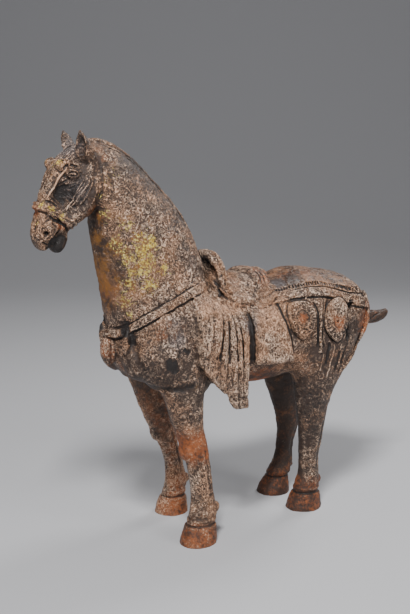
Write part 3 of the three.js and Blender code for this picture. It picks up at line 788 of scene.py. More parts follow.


# Each carving's soot lays soot and painted shade; below nought it lays chalky slip with a painted
# highlight.
carving = [  # route, width mm, rise mm, soot; the same on both sides
    # the edge of the face, pale with slip and a painted highlight, the cheek hollow and the edges of the
    # jaw
    ([(-456, 44, 920), (-464, 38, 911), (-477, 35, 896), (-485, 32, 878), (-495, 29, 864),
      (-505, 26, 847)], 2.6, 1.9, -0.9),
    ([(-474, 38, 890), (-470, 40, 872), (-476, 36, 852), (-486, 33, 840)], 13, -3.4, 1.1, 0.3),
    ([(-452, 46, 886), (-448, 46, 866), (-462, 41, 842)], 11, -2.0, 0.8, 0.3),
    ([(-417, 50, 900), (-440, 48, 867), (-457, 42, 838), (-466, 38, 820)], 1.7, 1.0, -0.8),
    ([(-406, 50, 890), (-429, 49, 863), (-445, 45, 841), (-463, 38, 824)], 1.6, 0.9, -0.6),
    ([(-421, 49, 881), (-436, 48, 866), (-450, 44, 850)], 1.5, 0.8, -0.6),
    ([(-434, 49, 893), (-446, 47, 872), (-458, 42, 854)], 1.5, 0.7, -0.4),
    ([(-398, 49, 906), (-404, 50, 880), (-420, 48, 852), (-440, 44, 828)], 2.2, 0.9, -0.4),
    ([(-388, 44, 905), (-394, 47, 866), (-410, 44, 828)], 2.0, 0.8, -0.4),
    ([(-380, 38, 935), (-376, 44, 903), (-380, 47, 869), (-388, 45, 842)], 4, -0.8, 0.15),
    ([(-368, 40, 930), (-364, 46, 895), (-370, 48, 860), (-384, 40, 828)], 11, 2.6, 0),
    # the eye in its lids, under the brow
    ([(-467, 43, 909), (-458, 47, 916), (-446, 50, 919), (-434, 50, 916), (-424, 49, 909)],
     2.6, 1.8, -0.4),
    ([(-466, 43, 901), (-456, 48, 896), (-444, 50, 896), (-431, 50, 903)], 2.4, 1.3, -0.2),
    ([(-463, 46, 904), (-456, 50, 909), (-446, 51, 911), (-436, 51, 908), (-430, 50, 905)],
     1.7, -1.5, 0.9),
    ([(-463, 46, 903), (-454, 50, 900), (-444, 51, 900), (-433, 51, 904)], 1.7, -1.3, 0.9),
    ([(-470, 42, 914), (-460, 46, 923), (-446, 48, 927), (-428, 48, 922)], 2.8, -1.4, 0.7),
    ([(-436, 42, 966), (-448, 44, 956), (-462, 42, 944), (-474, 36, 930)], 2.4, -1.4, 0.8),
    ([(-446, 40, 972), (-458, 38, 958), (-470, 34, 944)], 1.8, 0.9, -0.5),
    ([(-432, 46, 946), (-446, 47, 938), (-462, 45, 930)], 1.8, 1.0, -0.4),
    ([(-440, 14, 962), (-456, 12, 946), (-470, 12, 930)], 1.8, 0.8, -0.5),
    ([(-428, 28, 980), (-448, 28, 964), (-468, 28, 950)], 2.4, 0.9, -0.8),
    ([(-422, 35, 968), (-442, 35, 952), (-460, 35, 938)], 2.0, 0.8, -0.7),
    ([(-440, 20, 979), (-460, 20, 963), (-474, 20, 946)], 2.2, -1.0, 0.7),
    ([(-436, 28, 968), (-452, 27, 952), (-466, 24, 938)], 1.8, -0.9, 0.6),
    ([(-480, 12, 915), (-488, 12, 893), (-497, 10, 868)], 7, -1.2, 0.2),
    ([(-494, 18, 890), (-500, 16, 870), (-508, 14, 850)], 2.4, 0.8, -0.4),
    # grooves over and under the noseband
    ([(-500, 28, 814), (-487, 32, 805), (-472, 31, 796), (-458, 26, 784), (-452, 18, 776)],
     2.8, -2.2, 1.3),
    ([(-508, 22, 850), (-494, 33, 842), (-478, 38, 832), (-462, 40, 820)], 2.4, -1.4, 0.9),
    ([(-517, 8, 824), (-508, 24, 820), (-498, 30, 814)], 2.4, -1.0, 0.3),
    # nostril in its raised rim, and the mouth
    ([(-512, 33, 780), (-509, 36, 773), (-503, 37, 768)], 4.8, -5.0, 1.4),
    ([(-518, 28, 786), (-509, 34, 798), (-498, 36, 806), (-488, 35, 806)], 3.2, 2.2, -0.5),
    ([(-488, 35, 804), (-481, 33, 790), (-486, 34, 772), (-498, 34, 762)], 3.0, 1.8, -0.4),
    ([(-520, 28, 778), (-514, 33, 764), (-504, 35, 759)], 2.8, 1.4, 0),
    ([(-484, 28, 812), (-476, 30, 800), (-474, 30, 786), (-480, 30, 770)], 2.6, -1.8, 0.9),
    ([(-499, 8, 734), (-495, 20, 742), (-489, 26, 756), (-484, 28, 770), (-478, 28, 778)],
     4.2, -5.0, 2.0),
    ([(-518, 24, 756), (-508, 28, 750), (-498, 27, 746)], 2.6, -1.4, 0.9),
    ([(-516, 12, 806), (-521, 12, 792), (-526, 13, 776)], 3.4, -1.4, 0.6),
    ([(-522, 4, 800), (-529, 3, 776), (-526, 3, 752)], 3.0, 1.0, -0.3),
    # the foot of the mane and creases of the throat
    ([(-378, 15, 972), (-340, 18, 957), (-296, 19, 932), (-240, 18, 882), (-180, 18, 815),
      (-122, 20, 738)], 3.2, -2.2, 0.95),
    ([(-368, 42, 936), (-360, 50, 905), (-358, 54, 872)], 5, -1.2, 0.3),
    # both edges of the breast strap
    ([(-134, 94, 624), (-153, 102, 619), (-188, 115, 611), (-231, 119, 595), (-271, 110, 575),
      (-306, 86, 551), (-327, 61, 533), (-340, 34, 518), (-347, 0, 512)], 2.8, -1.5, 0.8),
    ([(-134, 84, 641), (-185, 109, 634), (-229, 117, 617), (-266, 111, 598), (-297, 95, 577),
      (-317, 73, 558), (-334, 40, 546), (-344, 0, 541)], 2.4, -1.0, 0.6),
    # both edges of the crupper
    ([(92, 104, 586), (108, 108, 586), (141, 115, 587), (177, 122, 586), (217, 124, 582), (249, 125, 572),
      (282, 127, 557), (330, 98, 544), (372, 66, 532)], 2.4, -1.3, 0.75),
    ([(80, 83, 600), (113, 92, 603), (151, 100, 608), (185, 104, 611), (220, 106, 608), (256, 107, 600),
      (282, 111, 593), (296, 113, 586), (330, 90, 574), (368, 60, 562)], 2.2, -1.5, 1.3),
    # round the boss, under the shoulder, where soot and painted shade lie under the overhang of the
    # chest, and beside the small pendant
    ([(-350, 24, 520), (-352, 27, 490), (-350, 20, 462), (-350, 0, 450)], 3.4, -1.2, 0.5),
    ([(-300, 18, 422), (-285, 83, 407), (-252, 107, 399), (-211, 128, 401), (-160, 118, 405)],
     9, -2.2, 0.35),
    ([(-316, 66, 520), (-312, 84, 480), (-292, 104, 446)], 8, -1.4, 0.3),
    ([(-334, 58, 566), (-331, 60, 548), (-326, 64, 524), (-322, 66, 506)], 11, -0.8, 1.8),
    # soot on the chin and the arm
    ([(-466, 24, 772), (-474, 22, 756), (-476, 18, 742), (-470, 8, 732)], 11, 0, 1.5, 0.1),
    ([(-256, 118, 479), (-246, 122, 459), (-230, 124, 444)], 8, -1.0, 2.0),
    ([(-242, 120, 474), (-232, 124, 452)], 7, -0.8, 1.8),
    ([(-216, 135, 499), (-200, 138, 485)], 6, -1.0, 1.8),
    # streaks of slip on the shoulder and the thigh
    ([(-278, 100, 470), (-282, 96, 500), (-276, 104, 530)], 2.0, 0.7, -0.6),
    ([(-216, 128, 560), (-212, 132, 520), (-206, 134, 486)], 2.4, 0.8, -0.5),
    ([(228, 138, 470), (222, 136, 440), (214, 132, 400), (208, 126, 360)], 2.4, 0.8, -0.7),
    ([(252, 136, 470), (244, 134, 440), (234, 130, 400)], 2.4, 0.8, -0.7),
    ([(196, 136, 446), (192, 134, 420), (188, 130, 388)], 2.2, 0.7, -0.6),
    # the hollow between shoulder and cloth
    ([(-244, 122, 590), (-226, 132, 540), (-224, 134, 490), (-206, 138, 450)], 9, -1.6, 0.3),
    # in front of the pommel, with soot and painted shade on its front, and round the seat
    ([(-98, 0, 686), (-98, 30, 680), (-94, 52, 660), (-90, 68, 640), (-86, 84, 616), (-72, 98, 598)],
     6, -3.6, 1.3),
    ([(-84, 100, 606), (-66, 106, 596), (-44, 110, 587), (-18, 112, 581), (0, 110, 580)], 3.0, -1.2, 0.3),
    ([(-26, 112, 584), (-10, 114, 574), (12, 114, 569), (36, 112, 572), (60, 108, 582), (80, 100, 598)],
     2.8, -1.2, 0.45),
    ([(-4, 100, 594), (12, 92, 606), (26, 80, 620), (34, 66, 634)], 5.0, -1.6, 0.3),
    ([(40, 40, 654), (44, 58, 644), (40, 74, 624)], 2.8, -1.6, 0.4),
    ([(50, 44, 654), (54, 62, 642), (50, 78, 620)], 2.8, -1.6, 0.4),
    ([(60, 44, 648), (64, 62, 636), (62, 80, 612)], 2.8, -1.6, 0.4),
    ([(78, 0, 636), (80, 40, 634), (80, 74, 618), (84, 96, 598)], 5, -3.0, 0.9),
    # the gap between cloth and blanket, with soot and painted shade in it
    ([(-10, 108, 572), (-20, 127, 547), (-27, 138, 512), (-29, 141, 476), (-23, 134, 439)],
     7, -1.0, 0.6, 0.1),
    # slots beside the leaf and grooves down the thigh
    ([(293, 120, 571), (289, 125, 558), (287, 129, 545)], 6.5, -7.0, 2.4, 0.3),
    ([(278, 136, 511), (275, 139, 489), (275, 140, 462)], 6, -6.5, 2.2, 0.3),
    ([(290, 126, 512), (280, 134, 478), (264, 136, 440), (246, 134, 400)], 3.6, -1.4, 0.6),
    ([(213, 138, 470), (208, 138, 440), (202, 134, 405)], 4, -2.0, 1.5),
    ([(247, 140, 448), (240, 138, 418), (236, 132, 385)], 4.5, -2.4, 1.7),
    ([(264, 136, 441), (258, 134, 412), (250, 126, 380)], 4, -1.8, 1.2),
    # beside the hanger, and the rear edge of the blanket, with soot and painted shade in the corner
    # beyond it
    ([(168, 130, 582), (175, 133, 548), (176, 134, 500), (179, 134, 448)], 2.8, -1.8, 1.0),
    ([(204, 129, 584), (193, 132, 556), (189, 134, 520), (189, 135, 480), (192, 134, 448)],
     2.8, -2.0, 1.2),
    ([(222, 126, 586), (206, 131, 560), (203, 134, 535), (206, 137, 505), (220, 138, 476),
      (236, 138, 460)], 5, -2.6, 1.2),
    ([(70, 100, 584), (73, 124, 553), (82, 139, 520), (90, 142, 488), (97, 138, 456), (106, 126, 430)],
     3.4, -1.4, 1.3, 0.1),
    # the folds of the saddle cloth in front of its pleats
    ([(-124, 138, 592), (-138, 144, 537), (-146, 146, 495), (-152, 146, 466)], 9, 3.0, 0, 0.2),
    ([(-150, 136, 585), (-163, 142, 537), (-172, 142, 495)], 8, -1.2, 0.1),
    # along the strap round the buttock
    ([(340, 94, 582), (343, 94, 545), (343, 94, 505), (330, 100, 468), (304, 112, 434)], 3.4, -1.8, 0.6),
    ([(370, 70, 575), (374, 70, 540), (374, 70, 500), (360, 78, 458)], 3.4, -1.4, 0.3),
    # collar and hair of the tail
    ([(394, 30, 500), (396, 0, 524)], 3.0, -1.6, 0.8),
    ([(424, 24, 490), (424, 14, 508), (423, 0, 516)], 2.8, -1.8, 0.9),
    ([(440, 22, 478), (470, 20, 494), (500, 14, 504)], 2.2, -1.0, 0.6),
    ([(446, 14, 470), (480, 18, 480), (512, 12, 494)], 2.2, -1.0, 0.6),
    ([(436, 20, 498), (456, 14, 508), (480, 6, 510)], 2.2, -1.0, 0.6),
]
notches = {  # the rope edge above the crupper
    "count": 44,
    "lean": (2, -7, 9),
    "spread": 1.6,
    "route": [
        (80, 79, 603), (113, 87, 607), (151, 95, 612), (185, 99, 615), (220, 101, 612), (256, 102, 604),
        (282, 106, 598), (300, 106, 589), (335, 86, 577), (366, 60, 567),
    ],
}
random = np.random.default_rng(7)
coronet = {"groove": 48, "rim": 58}  # heights


def ringRound(leg, height, count=14):
    rows = np.array(legs[leg])[::-1]
    front, back, half, y = [np.interp(height, rows[:, 0], rows[:, k]) for k in (1, 2, 3, 4)]
    turns = np.linspace(0, 2 * math.pi, count)
    return [((front + back) / 2 + math.cos(t) * (back - front) / 2, y + math.sin(t) * half, height)
            for t in turns]


def carveSkin():
    skinWork = Skin(horse)
    for route, width, rise, sootAndShade, *fade in carving:
        skinWork.both(route, width * mm, rise * mm, sootAndShade, *fade)
    for place in runThrough(notches["route"], notches["count"]):
        foot = place + random.uniform(-1, 1, 3) * notches["spread"]
        tip = place + np.array(notches["lean"]) + random.uniform(-1, 1, 3) * notches["spread"]
        skinWork.both([foot, tip], 2.0 * mm, -1.9 * mm, 1.7, 0.1)
    # The pleats of the saddle cloth stand pale between darker grooves: slip with a painted highlight on
    # the ridges, soot with painted shade in the grooves.
    ridges = [pleat[:2] for pleat in cloth["pleats"]] + [cloth["bandStart"]]
    for k, ridge in enumerate(ridges):
        span = [(pleatPlace(*ridge, z), 148, z) for z in np.linspace(574, 420, 8)]
        if k < len(ridges) - 1:
            skinWork.both(span, 3.0 * mm, 0.7 * mm, -0.32)
            other = ridges[k + 1]
            share = 0.62 if k == 0 else 0.5
            groove = [((1 - share) * pleatPlace(*ridge, z) + share * pleatPlace(*other, z), 144, z)
                      for z in np.linspace(570, 425, 8)]
            skinWork.both(groove, 2.4 * mm, -1.4 * mm, 0.75)
        else:
            skinWork.both([(x - 2, y, z) for x, y, z in span], 2.4 * mm, -1.6 * mm, 0.9)
    for leg, rows in legs.items():
        outer = 1 if rows[0][4] > 0 else -1
        skinWork.stroke(ringRound(leg, coronet["groove"]), 3.2 * mm, -1.6 * mm, 0.15, 0)
        skinWork.stroke(ringRound(leg, coronet["rim"]), 3.4 * mm, 1.1 * mm, 0, 0)
        for side in (-1, 1):
            tendon = [(back - 15, y + side * half, z) for z, front, back, half, y in rows if 90 < z < 260]
            skinWork.stroke(tendon, 5 * mm, -1.5 * mm, 0.4)
        front = [(front + 8, y + outer * half, z) for z, front, back, half, y in rows if 90 < z < 230]
        skinWork.stroke(front, 5 * mm, -0.9 * mm, 0.2)
    skinWork.settle()
    return skinWork.sootAndShade, skinWork.chalkAndHighlight


print("carving")
for name, size, strength in (("broadUnevenness", 17, 2.4), ("closeUnevenness", 6, 1.3)):
    uneven = bpy.data.textures.new(name, "CLOUDS")
    uneven.noise_scale = size * mm
    applyModifier(horse, "DISPLACE", texture=uneven, strength=strength * mm, texture_coords="LOCAL")
sootAndShadeLines, chalkAndHighlightLines = carveSkin()
putPlaces(horse, settled(placesOf(horse), edges, 1))


# Pendants: plates laid on the body, each with its own outline and relief
def outlineReach(points, turns):
    line = runThrough(list(points) + [points[0]], 400)
    angle = np.arctan2(line[:, 1], line[:, 0]) % (2 * math.pi)
    order = np.argsort(angle)
    reach = np.hypot(line[:, 0], line[:, 1])
    return np.interp(turns, angle[order], reach[order], period=2 * math.pi)


def plate(name, side, centre, points, rise, rings=40, around=180, sunk=3 * mm):
    turns = np.arange(around) / around * 2 * math.pi
    reach = outlineReach(points, turns)
    tops, unders = [], []
    for share in np.linspace(0.02, 1, rings):
        top, under = [], []
        for turn, far in zip(turns, reach):
            a, b = math.cos(turn) * far * share, math.sin(turn) * far * share
            place = at(centre[0], side * flank, centre[1]) + Vector((a, 0, b)) * mm
            outward = (place - trunkCore(place)).normalized()
            foot = touch(place, outward)
            top.append(foot + outward * (rise(a, b, share, turn) * mm))
            under.append(foot - outward * sunk)
        tops.append(top)
        unders.append(under)
    return drawnOut(name, tops + unders[::-1])


def bump(value, middle, half):
    off = (value - middle) / half
    return math.exp(-off * off)


medallion = {
    "centre": (125, 540),
    "outline": [(0, 24.5), (13, 22.5), (21, 14), (23, 2), (21, -9), (17, -18), (8, -26), (0, -31),
                (-8, -26), (-16, -18), (-19, -9), (-21, 2), (-19.5, 13), (-13, 22)],
    "disc": 12.5,
    "petals": 9,
    "hoodPetals": 15,
}


def medallionRise(a, b, share, turn):
    far = math.hypot(a, b)
    rise = 3.0 + 2.0 * bump(share, 0.91, 0.05) - 2.8 * max(0, share - 0.97) / 0.03
    disc = medallion["disc"]
    rise += 2.4 * bump(far, disc, 1.2)
    if far < disc:
        rise += 0.9 * bump(far, disc * 0.62, 2.2) * (0.5 + 0.5 * math.cos(turn * medallion["petals"]))
        rise += 1.8 * bump(far, 0, 5.0)
    elif b > -disc * 0.6:
        wave = 0.5 + 0.5 * math.cos(turn * medallion["hoodPetals"] * 2)
        rise += 1.8 * wave * bump(share, 0.76, 0.1)
        rise += 1.0 * bump(share, 0.64, 0.03)
    else:
        rise += 2.0 * bump(math.hypot(a, b + 21), 4.0, 1.0)
        rise += 1.8 * bump(math.hypot(abs(a) - 10, b + 14), 3.4, 1.0)
    return rise


leaf = {
    "centre": (232, 523),
    "outline": [(9, 34), (-4, 29), (-14, 19), (-18.5, 7), (-19.5, -6), (-15, -16), (-8, -24), (1, -31),
                (8, -26), (15, -18), (22, -8), (25, 4), (25, 17), (19, 29)],
    "scallops": 17,
    "hole": 1.9,
}


def leafRise(a, b, share, turn):
    far = math.hypot(a, b)
    rise = 2.4 + 4.6 * math.sqrt(max(0, 1 - share**2.6))
    lower = float(easeIn(14, 2, b))
    wave = 0.5 + 0.5 * math.cos(turn * leaf["scallops"])
    rise -= lower * 1.8 * wave * float(easeIn(0.55, 0.9, share))
    rise += lower * 0.7 * bump(share, 0.5, 0.08)
    rise += (1 - lower) * 0.5 * math.sin(a * 0.5 + b * 0.25)
    rise -= 3.2 * bump(far, 0, leaf["hole"])
    return rise


drop = {
    "centre": (-262, 545),
    "outline": [(0, 24), (8, 21), (12, 10), (12, -4), (8, -16), (0, -24), (-8, -16), (-12, -4),
                (-12, 10), (-8, 21)],
}


def dropRise(a, b, share, turn):
    rise = 0.2 + 3.0 * math.sqrt(max(0, 1 - share**2.2))
    return rise - 0.9 * bump(a + b * 0.15, 3, 2.0) - 0.7 * bump(a - b * 0.1, -5, 1.8)


print("pendants")
plates = [(medallion, medallionRise, 200), (leaf, leafRise, 190), (drop, dropRise, 110)]
hung = []
for shape, rise, around in plates:
    for side in (-1, 1):
        # The right side mirrors the left one.
        hung.append(plate("pendant", side, shape["centre"], shape["outline"], rise,
                          40, around))
pendants = joined("tomb_horse_pendants", hung)
pendantTree = treeOf(pendants)


# Painted shade darkens the body along the rims of the pendants, where they meet it.
def shadeBesidePendants(places, reach=3.2 * mm):
    shade = np.zeros(len(places))
    for shape, _, _ in plates[:2]:
        x, z = np.array(shape["centre"]) * part
        low, high = np.array([x - 0.03, -1, z - 0.045]), np.array([x + 0.035, 1, z + 0.035])
        beside = ((places > low) & (places < high)).all(1) & (np.abs(places[:, 1]) > 0.04)
        for i in np.flatnonzero(beside):
            gap = pendantTree.find_nearest(Vector(places[i]), reach)[3]
            if gap is not None:
                shade[i] = max(shade[i], 1 - gap / reach)
    return shade


# Marks: how hollow each place is, and where soot, painted shade, slip, painted highlight, earth and
# gilding lie
tones = {  # x, y, z, radius, amount, all in parts; painted on both sides
    "slip": [
        (-503, 6, 855, 20, 0.6), (-492, 10, 885, 20, 0.5), (-460, 10, 945, 30, 0.7),
        (-250, 118, 560, 40, 0.8), (-230, 120, 500, 60, 0.7), (-190, 100, 640, 60, 0.8),
        (-10, 60, 640, 50, 0.9), (75, 100, 590, 22, 1.0), (-300, 90, 560, 40, 0.5),
        (262, 130, 570, 18, 1.0), (330, 100, 540, 34, 0.7), (140, 130, 500, 60, 0.6),
        (-160, 100, 330, 40, 0.7), (-150, 100, 160, 50, 0.7), (220, 80, 330, 50, 0.6),
        (-350, 0, 492, 34, 1.0), (125, 140, 545, 26, 0.6), (238, 140, 536, 24, 1.0),
        (-420, 10, 985, 30, 0.7),
    ],
    "earth": [
        (-519, 0, 828, 17, 1.0), (-469, 28, 790, 15, 0.7), (-450, 20, 795, 22, 0.5),
        (-404, 40, 930, 26, 0.3), (-398, 40, 850, 22, 0.5), (-392, 36, 820, 26, 0.6),
        (-372, 20, 960, 30, 0.4), (-380, 44, 940, 20, 0.4), (-300, 12, 940, 24, 0.4),
        (-345, 10, 640, 50, 0.5), (-352, 0, 488, 34, 0.7), (-40, 20, 640, 60, 0.25),
        (130, 30, 650, 60, 0.25), (200, 60, 640, 50, 0.25), (300, 60, 620, 40, 0.2),
        (56, 46, 640, 34, 0.7), (20, 110, 370, 60, 0.9), (234, 140, 518, 24, 1.0),
        (125, 140, 540, 15, 1.0), (-262, 120, 545, 30, 0.45), (356, 84, 500, 50, 0.9),
        (354, 84, 520, 44, 1.0), (410, 20, 490, 40, 0.4), (450, 10, 490, 60, 0.4),
        (150, 120, 420, 60, 0.3), (-120, 100, 480, 30, 0.4), (-160, 60, 620, 30, 0.3),
        (210, 140, 430, 50, 0.35), (-300, 40, 440, 40, 0.6),
    ],
    # dark patina; some spots are painted shade: the front of the pommel, the gap between cloth and
    # blanket, under the blanket and beyond its rear edge
    "patinaAndShade": [
        (-215, 40, 890, 70, 1.2), (-270, 30, 930, 56, 1.2), (-150, 40, 810, 56, 1.1),
        (-370, 0, 860, 50, 0.8), (-368, 10, 780, 40, 0.5), (-308, 120, 482, 16, 1.6),
        (-296, 122, 466, 14, 1.4), (-320, 100, 506, 12, 1.2), (-232, 134, 486, 12, 1.4),
        (-220, 136, 498, 10, 1.2), (-375, 50, 548, 18, 1.4), (-360, 62, 566, 16, 1.2),
        # the spot at x 86 is soot and painted shade beyond the rear edge of the blanket
        (-386, 40, 521, 16, 1.2), (195, 134, 505, 26, 0.9), (86, 142, 500, 20, 0.8),
        # painted shade on the front of the pommel
        (-88, 20, 690, 22, 1.6), (-96, 46, 664, 22, 1.6), (-94, 66, 640, 16, 1.4),
        (-190, 110, 24, 40, 0.4), (-455, 42, 880, 36, 1.0), (-466, 38, 856, 34, 1.2),
        (-430, 48, 888, 44, 1.0), (-430, 46, 850, 44, 1.0), (-478, 40, 880, 18, 1.2),
        (-450, 30, 945, 40, 0.5), (-410, 44, 920, 30, 0.6), (-432, 46, 985, 34, 1.0),
        (-505, 20, 770, 40, 0.5), (-474, 14, 746, 30, 1.8), (-470, 24, 752, 24, 1.0),
        (-478, 18, 735, 22, 1.0), (-430, 46, 985, 24, 0.7), (-331, 62, 535, 36, 1.0),
        (-336, 60, 490, 30, 0.6), (-268, 110, 440, 70, 1.0), (-210, 120, 420, 60, 1.0),
        (-176, 140, 545, 26, 0.7), (-150, 140, 450, 50, 0.9), (-40, 140, 500, 34, 0.8),
        (-90, 140, 400, 60, 0.7), (100, 60, 625, 40, 0.9), (270, 135, 480, 44, 0.9),
        (200, 130, 450, 50, 0.8), (190, 80, 350, 56, 1.3), (200, 80, 270, 56, 1.1),
        # painted shade down the gap between cloth and blanket, and under the blanket's lower edge
        *[(-26, 142, z, 12, 1.4) for z in range(440, 580, 15)], (20, 110, 400, 50, 0.6),
        (-402, 40, 856, 36, 1.1), (-415, 40, 890, 26, 0.6), (450, 16, 490, 60, 0.9),
        (-290, 60, 885, 50, 0.9), (50, 50, 640, 30, 0.6), (-380, 20, 830, 40, 0.6),
        # the spots near x -90 here and below are painted shade on the front of the pommel
        (-360, 30, 760, 40, 0.5), (-66, 140, 350, 26, 0.7), (-92, 20, 680, 26, 1.0),
        (-300, 60, 880, 60, 0.4), (-150, 70, 700, 60, 0.3), (-92, 10, 694, 16, 1.0),
        (-92, 34, 686, 16, 1.0), (440, 20, 500, 60, 0.3), (300, 120, 440, 60, 0.5),
        (20, 40, 655, 40, 0.9), (60, 30, 660, 24, 0.7), (-250, 40, 420, 90, 0.7),
        (-360, 10, 870, 60, 0.6), (-90, 60, 668, 12, 1.0), (-300, 16, 930, 60, 0.4),
    ],
    "gold": [
        (-335, 75, 790, 24, 0.7), (-303, 87, 766, 26, 0.8), (-281, 93, 743, 28, 1.0),
        (-289, 97, 705, 34, 1.0), (-316, 85, 686, 30, 0.9), (-325, 77, 651, 26, 0.9),
        (-286, 100, 651, 30, 0.9), (-349, 66, 744, 26, 0.8), (-354, 52, 913, 20, 0.6),
        (-365, 53, 891, 20, 0.6), (-382, 44, 857, 20, 0.5), (-371, 47, 812, 22, 0.6),
        (-324, 71, 580, 12, 0.8), (-476, 38, 930, 12, 1.0), (-460, 30, 945, 14, 0.7),
        (-492, 34, 828, 13, 1.5), (-472, 36, 816, 11, 1.3), (-512, 20, 838, 10, 1.1),
        (-524, 14, 795, 10, 0.6), (-480, 12, 930, 14, 0.6), (-255, 100, 690, 30, 0.8),
        (-330, 80, 720, 36, 0.9), (-300, 92, 730, 36, 1.0), (-340, 70, 610, 30, 0.7),
    ],
    "ochre": [
        (-376, 17, 753, 30, 0.9), (-366, 18, 694, 34, 0.9), (-358, 15, 646, 34, 1.0),
        (-358, 52, 732, 36, 0.7), (-372, 30, 800, 30, 0.6), (-345, 50, 670, 30, 0.6),
        (-355, 20, 600, 26, 0.6),
    ],
    "grey": [
        (-445, 10, 962, 26, 1.0), (-420, 20, 968, 24, 0.8), (-232, 128, 520, 26, 0.7),
        # the spot at x -36 turns the gap between cloth and blanket a cool painted shade
        (-238, 126, 560, 22, 0.5), (-440, 48, 870, 30, 0.5), (-36, 140, 540, 22, 0.8),
        (104, 60, 618, 22, 0.6), (-150, 90, 690, 30, 0.4),
    ],
}


def daubed(places, spots):
    tone = np.zeros(len(places))
    shown = np.abs(places)
    for x, y, z, radius, amount in spots:
        gap = (places[:, 0] - x) ** 2 + (shown[:, 1] - y) ** 2 + (places[:, 2] - z) ** 2
        tone = np.maximum(tone, amount * np.exp(-gap / radius**2))
    return tone


def putMarks(piece, name, channels):
    layer = piece.data.attributes.new(name, "FLOAT_COLOR", "POINT")
    values = np.stack([np.clip(c, 0, 1) for c in channels], 1).astype(np.float32)
    layer.data.foreach_set("color", values.ravel())


def legTones(x, y, z):
    near = y < 0
    low = easeIn(400, 330, z)
    fore = low * (x < 0)
    hind = low * (x >= 0)
    earth = fore * ~near * 0.4 + hind * ~near * 0.25
    earth += fore * near * np.exp(-((z - 245) / 45) ** 2) + low * np.exp(-((z - 20) / 40) ** 2) * 0.8
    earth += hind * near * easeIn(110, 60, z)
    patinaAndShade = hind * near * easeIn(225, 195, x) * easeIn(180, 250, z) + hind * ~near * 0.5
    patinaAndShade += fore * near * np.exp(-((z - 150) / 50) ** 2) * 0.7 + hind * near * 0.6
    patinaAndShade += fore * near * easeIn(290, 330, z) * 0.6 + fore * ~near * easeIn(80, 40, z) * 0.3
    patinaAndShade += hind * easeIn(80, 40, z) * 0.25 + fore * near * easeIn(80, 40, z) * 0.3
    # The far foreleg takes more slip: painted light that lifts it out of the shade it falls in.
    slip = -low * (0.12 - 0.5 * (x < 0) * ~near) - hind * easeIn(80, 40, z) * 0.2
    return slip, earth, patinaAndShade


def paintMarks(piece, sootAndShade, chalkAndHighlight, belonging, spread=1):
    places = placesOf(piece)
    facing = facingOf(piece)
    lines = edgesOf(piece)
    near = settled(places, lines, 6 * spread)
    broad = settled(near, lines, 40 * spread)
    # How sunk each place is, near and broad; the finish darkens sunk places with patina and with painted
    # shade.
    hollow = ((near - places) * facing).sum(1) / (0.5 * mm)
    deep = ((broad - places) * facing).sum(1) / (2 * mm)
    cloths = np.maximum(belonging["cloth"], belonging["blanket"])
    sunk = (np.clip(hollow, 0, 0.5) * 1.6 + np.clip(deep, 0, 0.5) * 1.5) * (1 - 0.35 * cloths)
    inParts = places / part
    x, y, z = inParts.T
    tone = {name: daubed(inParts, spots) for name, spots in tones.items()}
    legSlipAndLight, legEarth, legPatina = legTones(x, y, z)
    croup = easeIn(80, 130, x) * easeIn(596, 622, z) * easeIn(400, 360, x)
    bare = easeIn(405, 425, x) * easeIn(430, 455, z) + easeIn(430, 400, z) * easeIn(90, 60, np.abs(y))
    slip = 0.4 + 0.18 * cloths + 0.2 * belonging["straps"] + 0.3 * belonging["saddle"] + legSlipAndLight
    slip -= 0.6 * np.clip(tone["patinaAndShade"] - 0.9, 0, 1)
    slip = np.maximum(slip, tone["slip"]) - 0.1 * croup - 0.4 * tone["ochre"]
    slip = slip - 0.25 * tone["patinaAndShade"] - 0.5 * bare
    slip -= np.clip(hollow, -0.5, 0.5) * 0.5 + 0.3 * np.clip(tone["earth"], 0, 1) * (1 - cloths)
    earth = np.maximum(tone["earth"], legEarth) + 0.15 * cloths + 0.1 * belonging["saddle"] + 0.05 * croup
    patinaAndShade = np.maximum(tone["patinaAndShade"], legPatina) - 0.1 * cloths
    hanging = np.maximum(cloths, easeIn(400, 350, z) * 0.8)
    putMarks(piece, "forms", [chalkAndHighlight, sunk / 2, sootAndShade, croup])
    putMarks(piece, "tones", [slip, earth, patinaAndShade, tone["grey"]])
    putMarks(piece, "traces", [tone["gold"], tone["ochre"], hanging, belonging["saddle"]])


print("marks")
densePlaces = placesOf(horse)
membership = {name: belongs(densePlaces, name) for name in ("straps", "cloth", "blanket", "saddle")}
paintMarks(horse, np.maximum(sootAndShadeLines, shadeBesidePendants(densePlaces)), chalkAndHighlightLines, membership)
none = np.zeros(len(pendants.data.vertices))
behind = (placesOf(pendants)[:, 0] > 0) * 1.0
hungMembership = {**{name: none for name in membership}, "straps": behind}
paintMarks(pendants, none, none, hungMembership, 4)


# The skin is parted at plain places, so that each piece keeps its fine forms. The
# parts meet face to face, and the soles are cut flat on the ground.
faceLimit = 196000
ground = (Vector((0, 0, 0)), Vector((0, 0, 1)))
collar = (at(-130, 0, 730), Vector((-0.534, 0, 0.847)))
girth = (at(-37, 0, 0), Vector((1, 0, 0)))
loins = (at(90, 0, 0), Vector((1, 0, 0)))
sections = {  # each plane, and whether the side that it faces is kept
    "tomb_horse_head_and_neck": [(collar, True)],
    "tomb_horse_forehand": [(collar, False), (girth, False), (ground, True)],
    "tomb_horse_barrel": [(girth, True), (loins, False)],
    "tomb_horse_quarters": [(loins, True), (ground, True)],
}


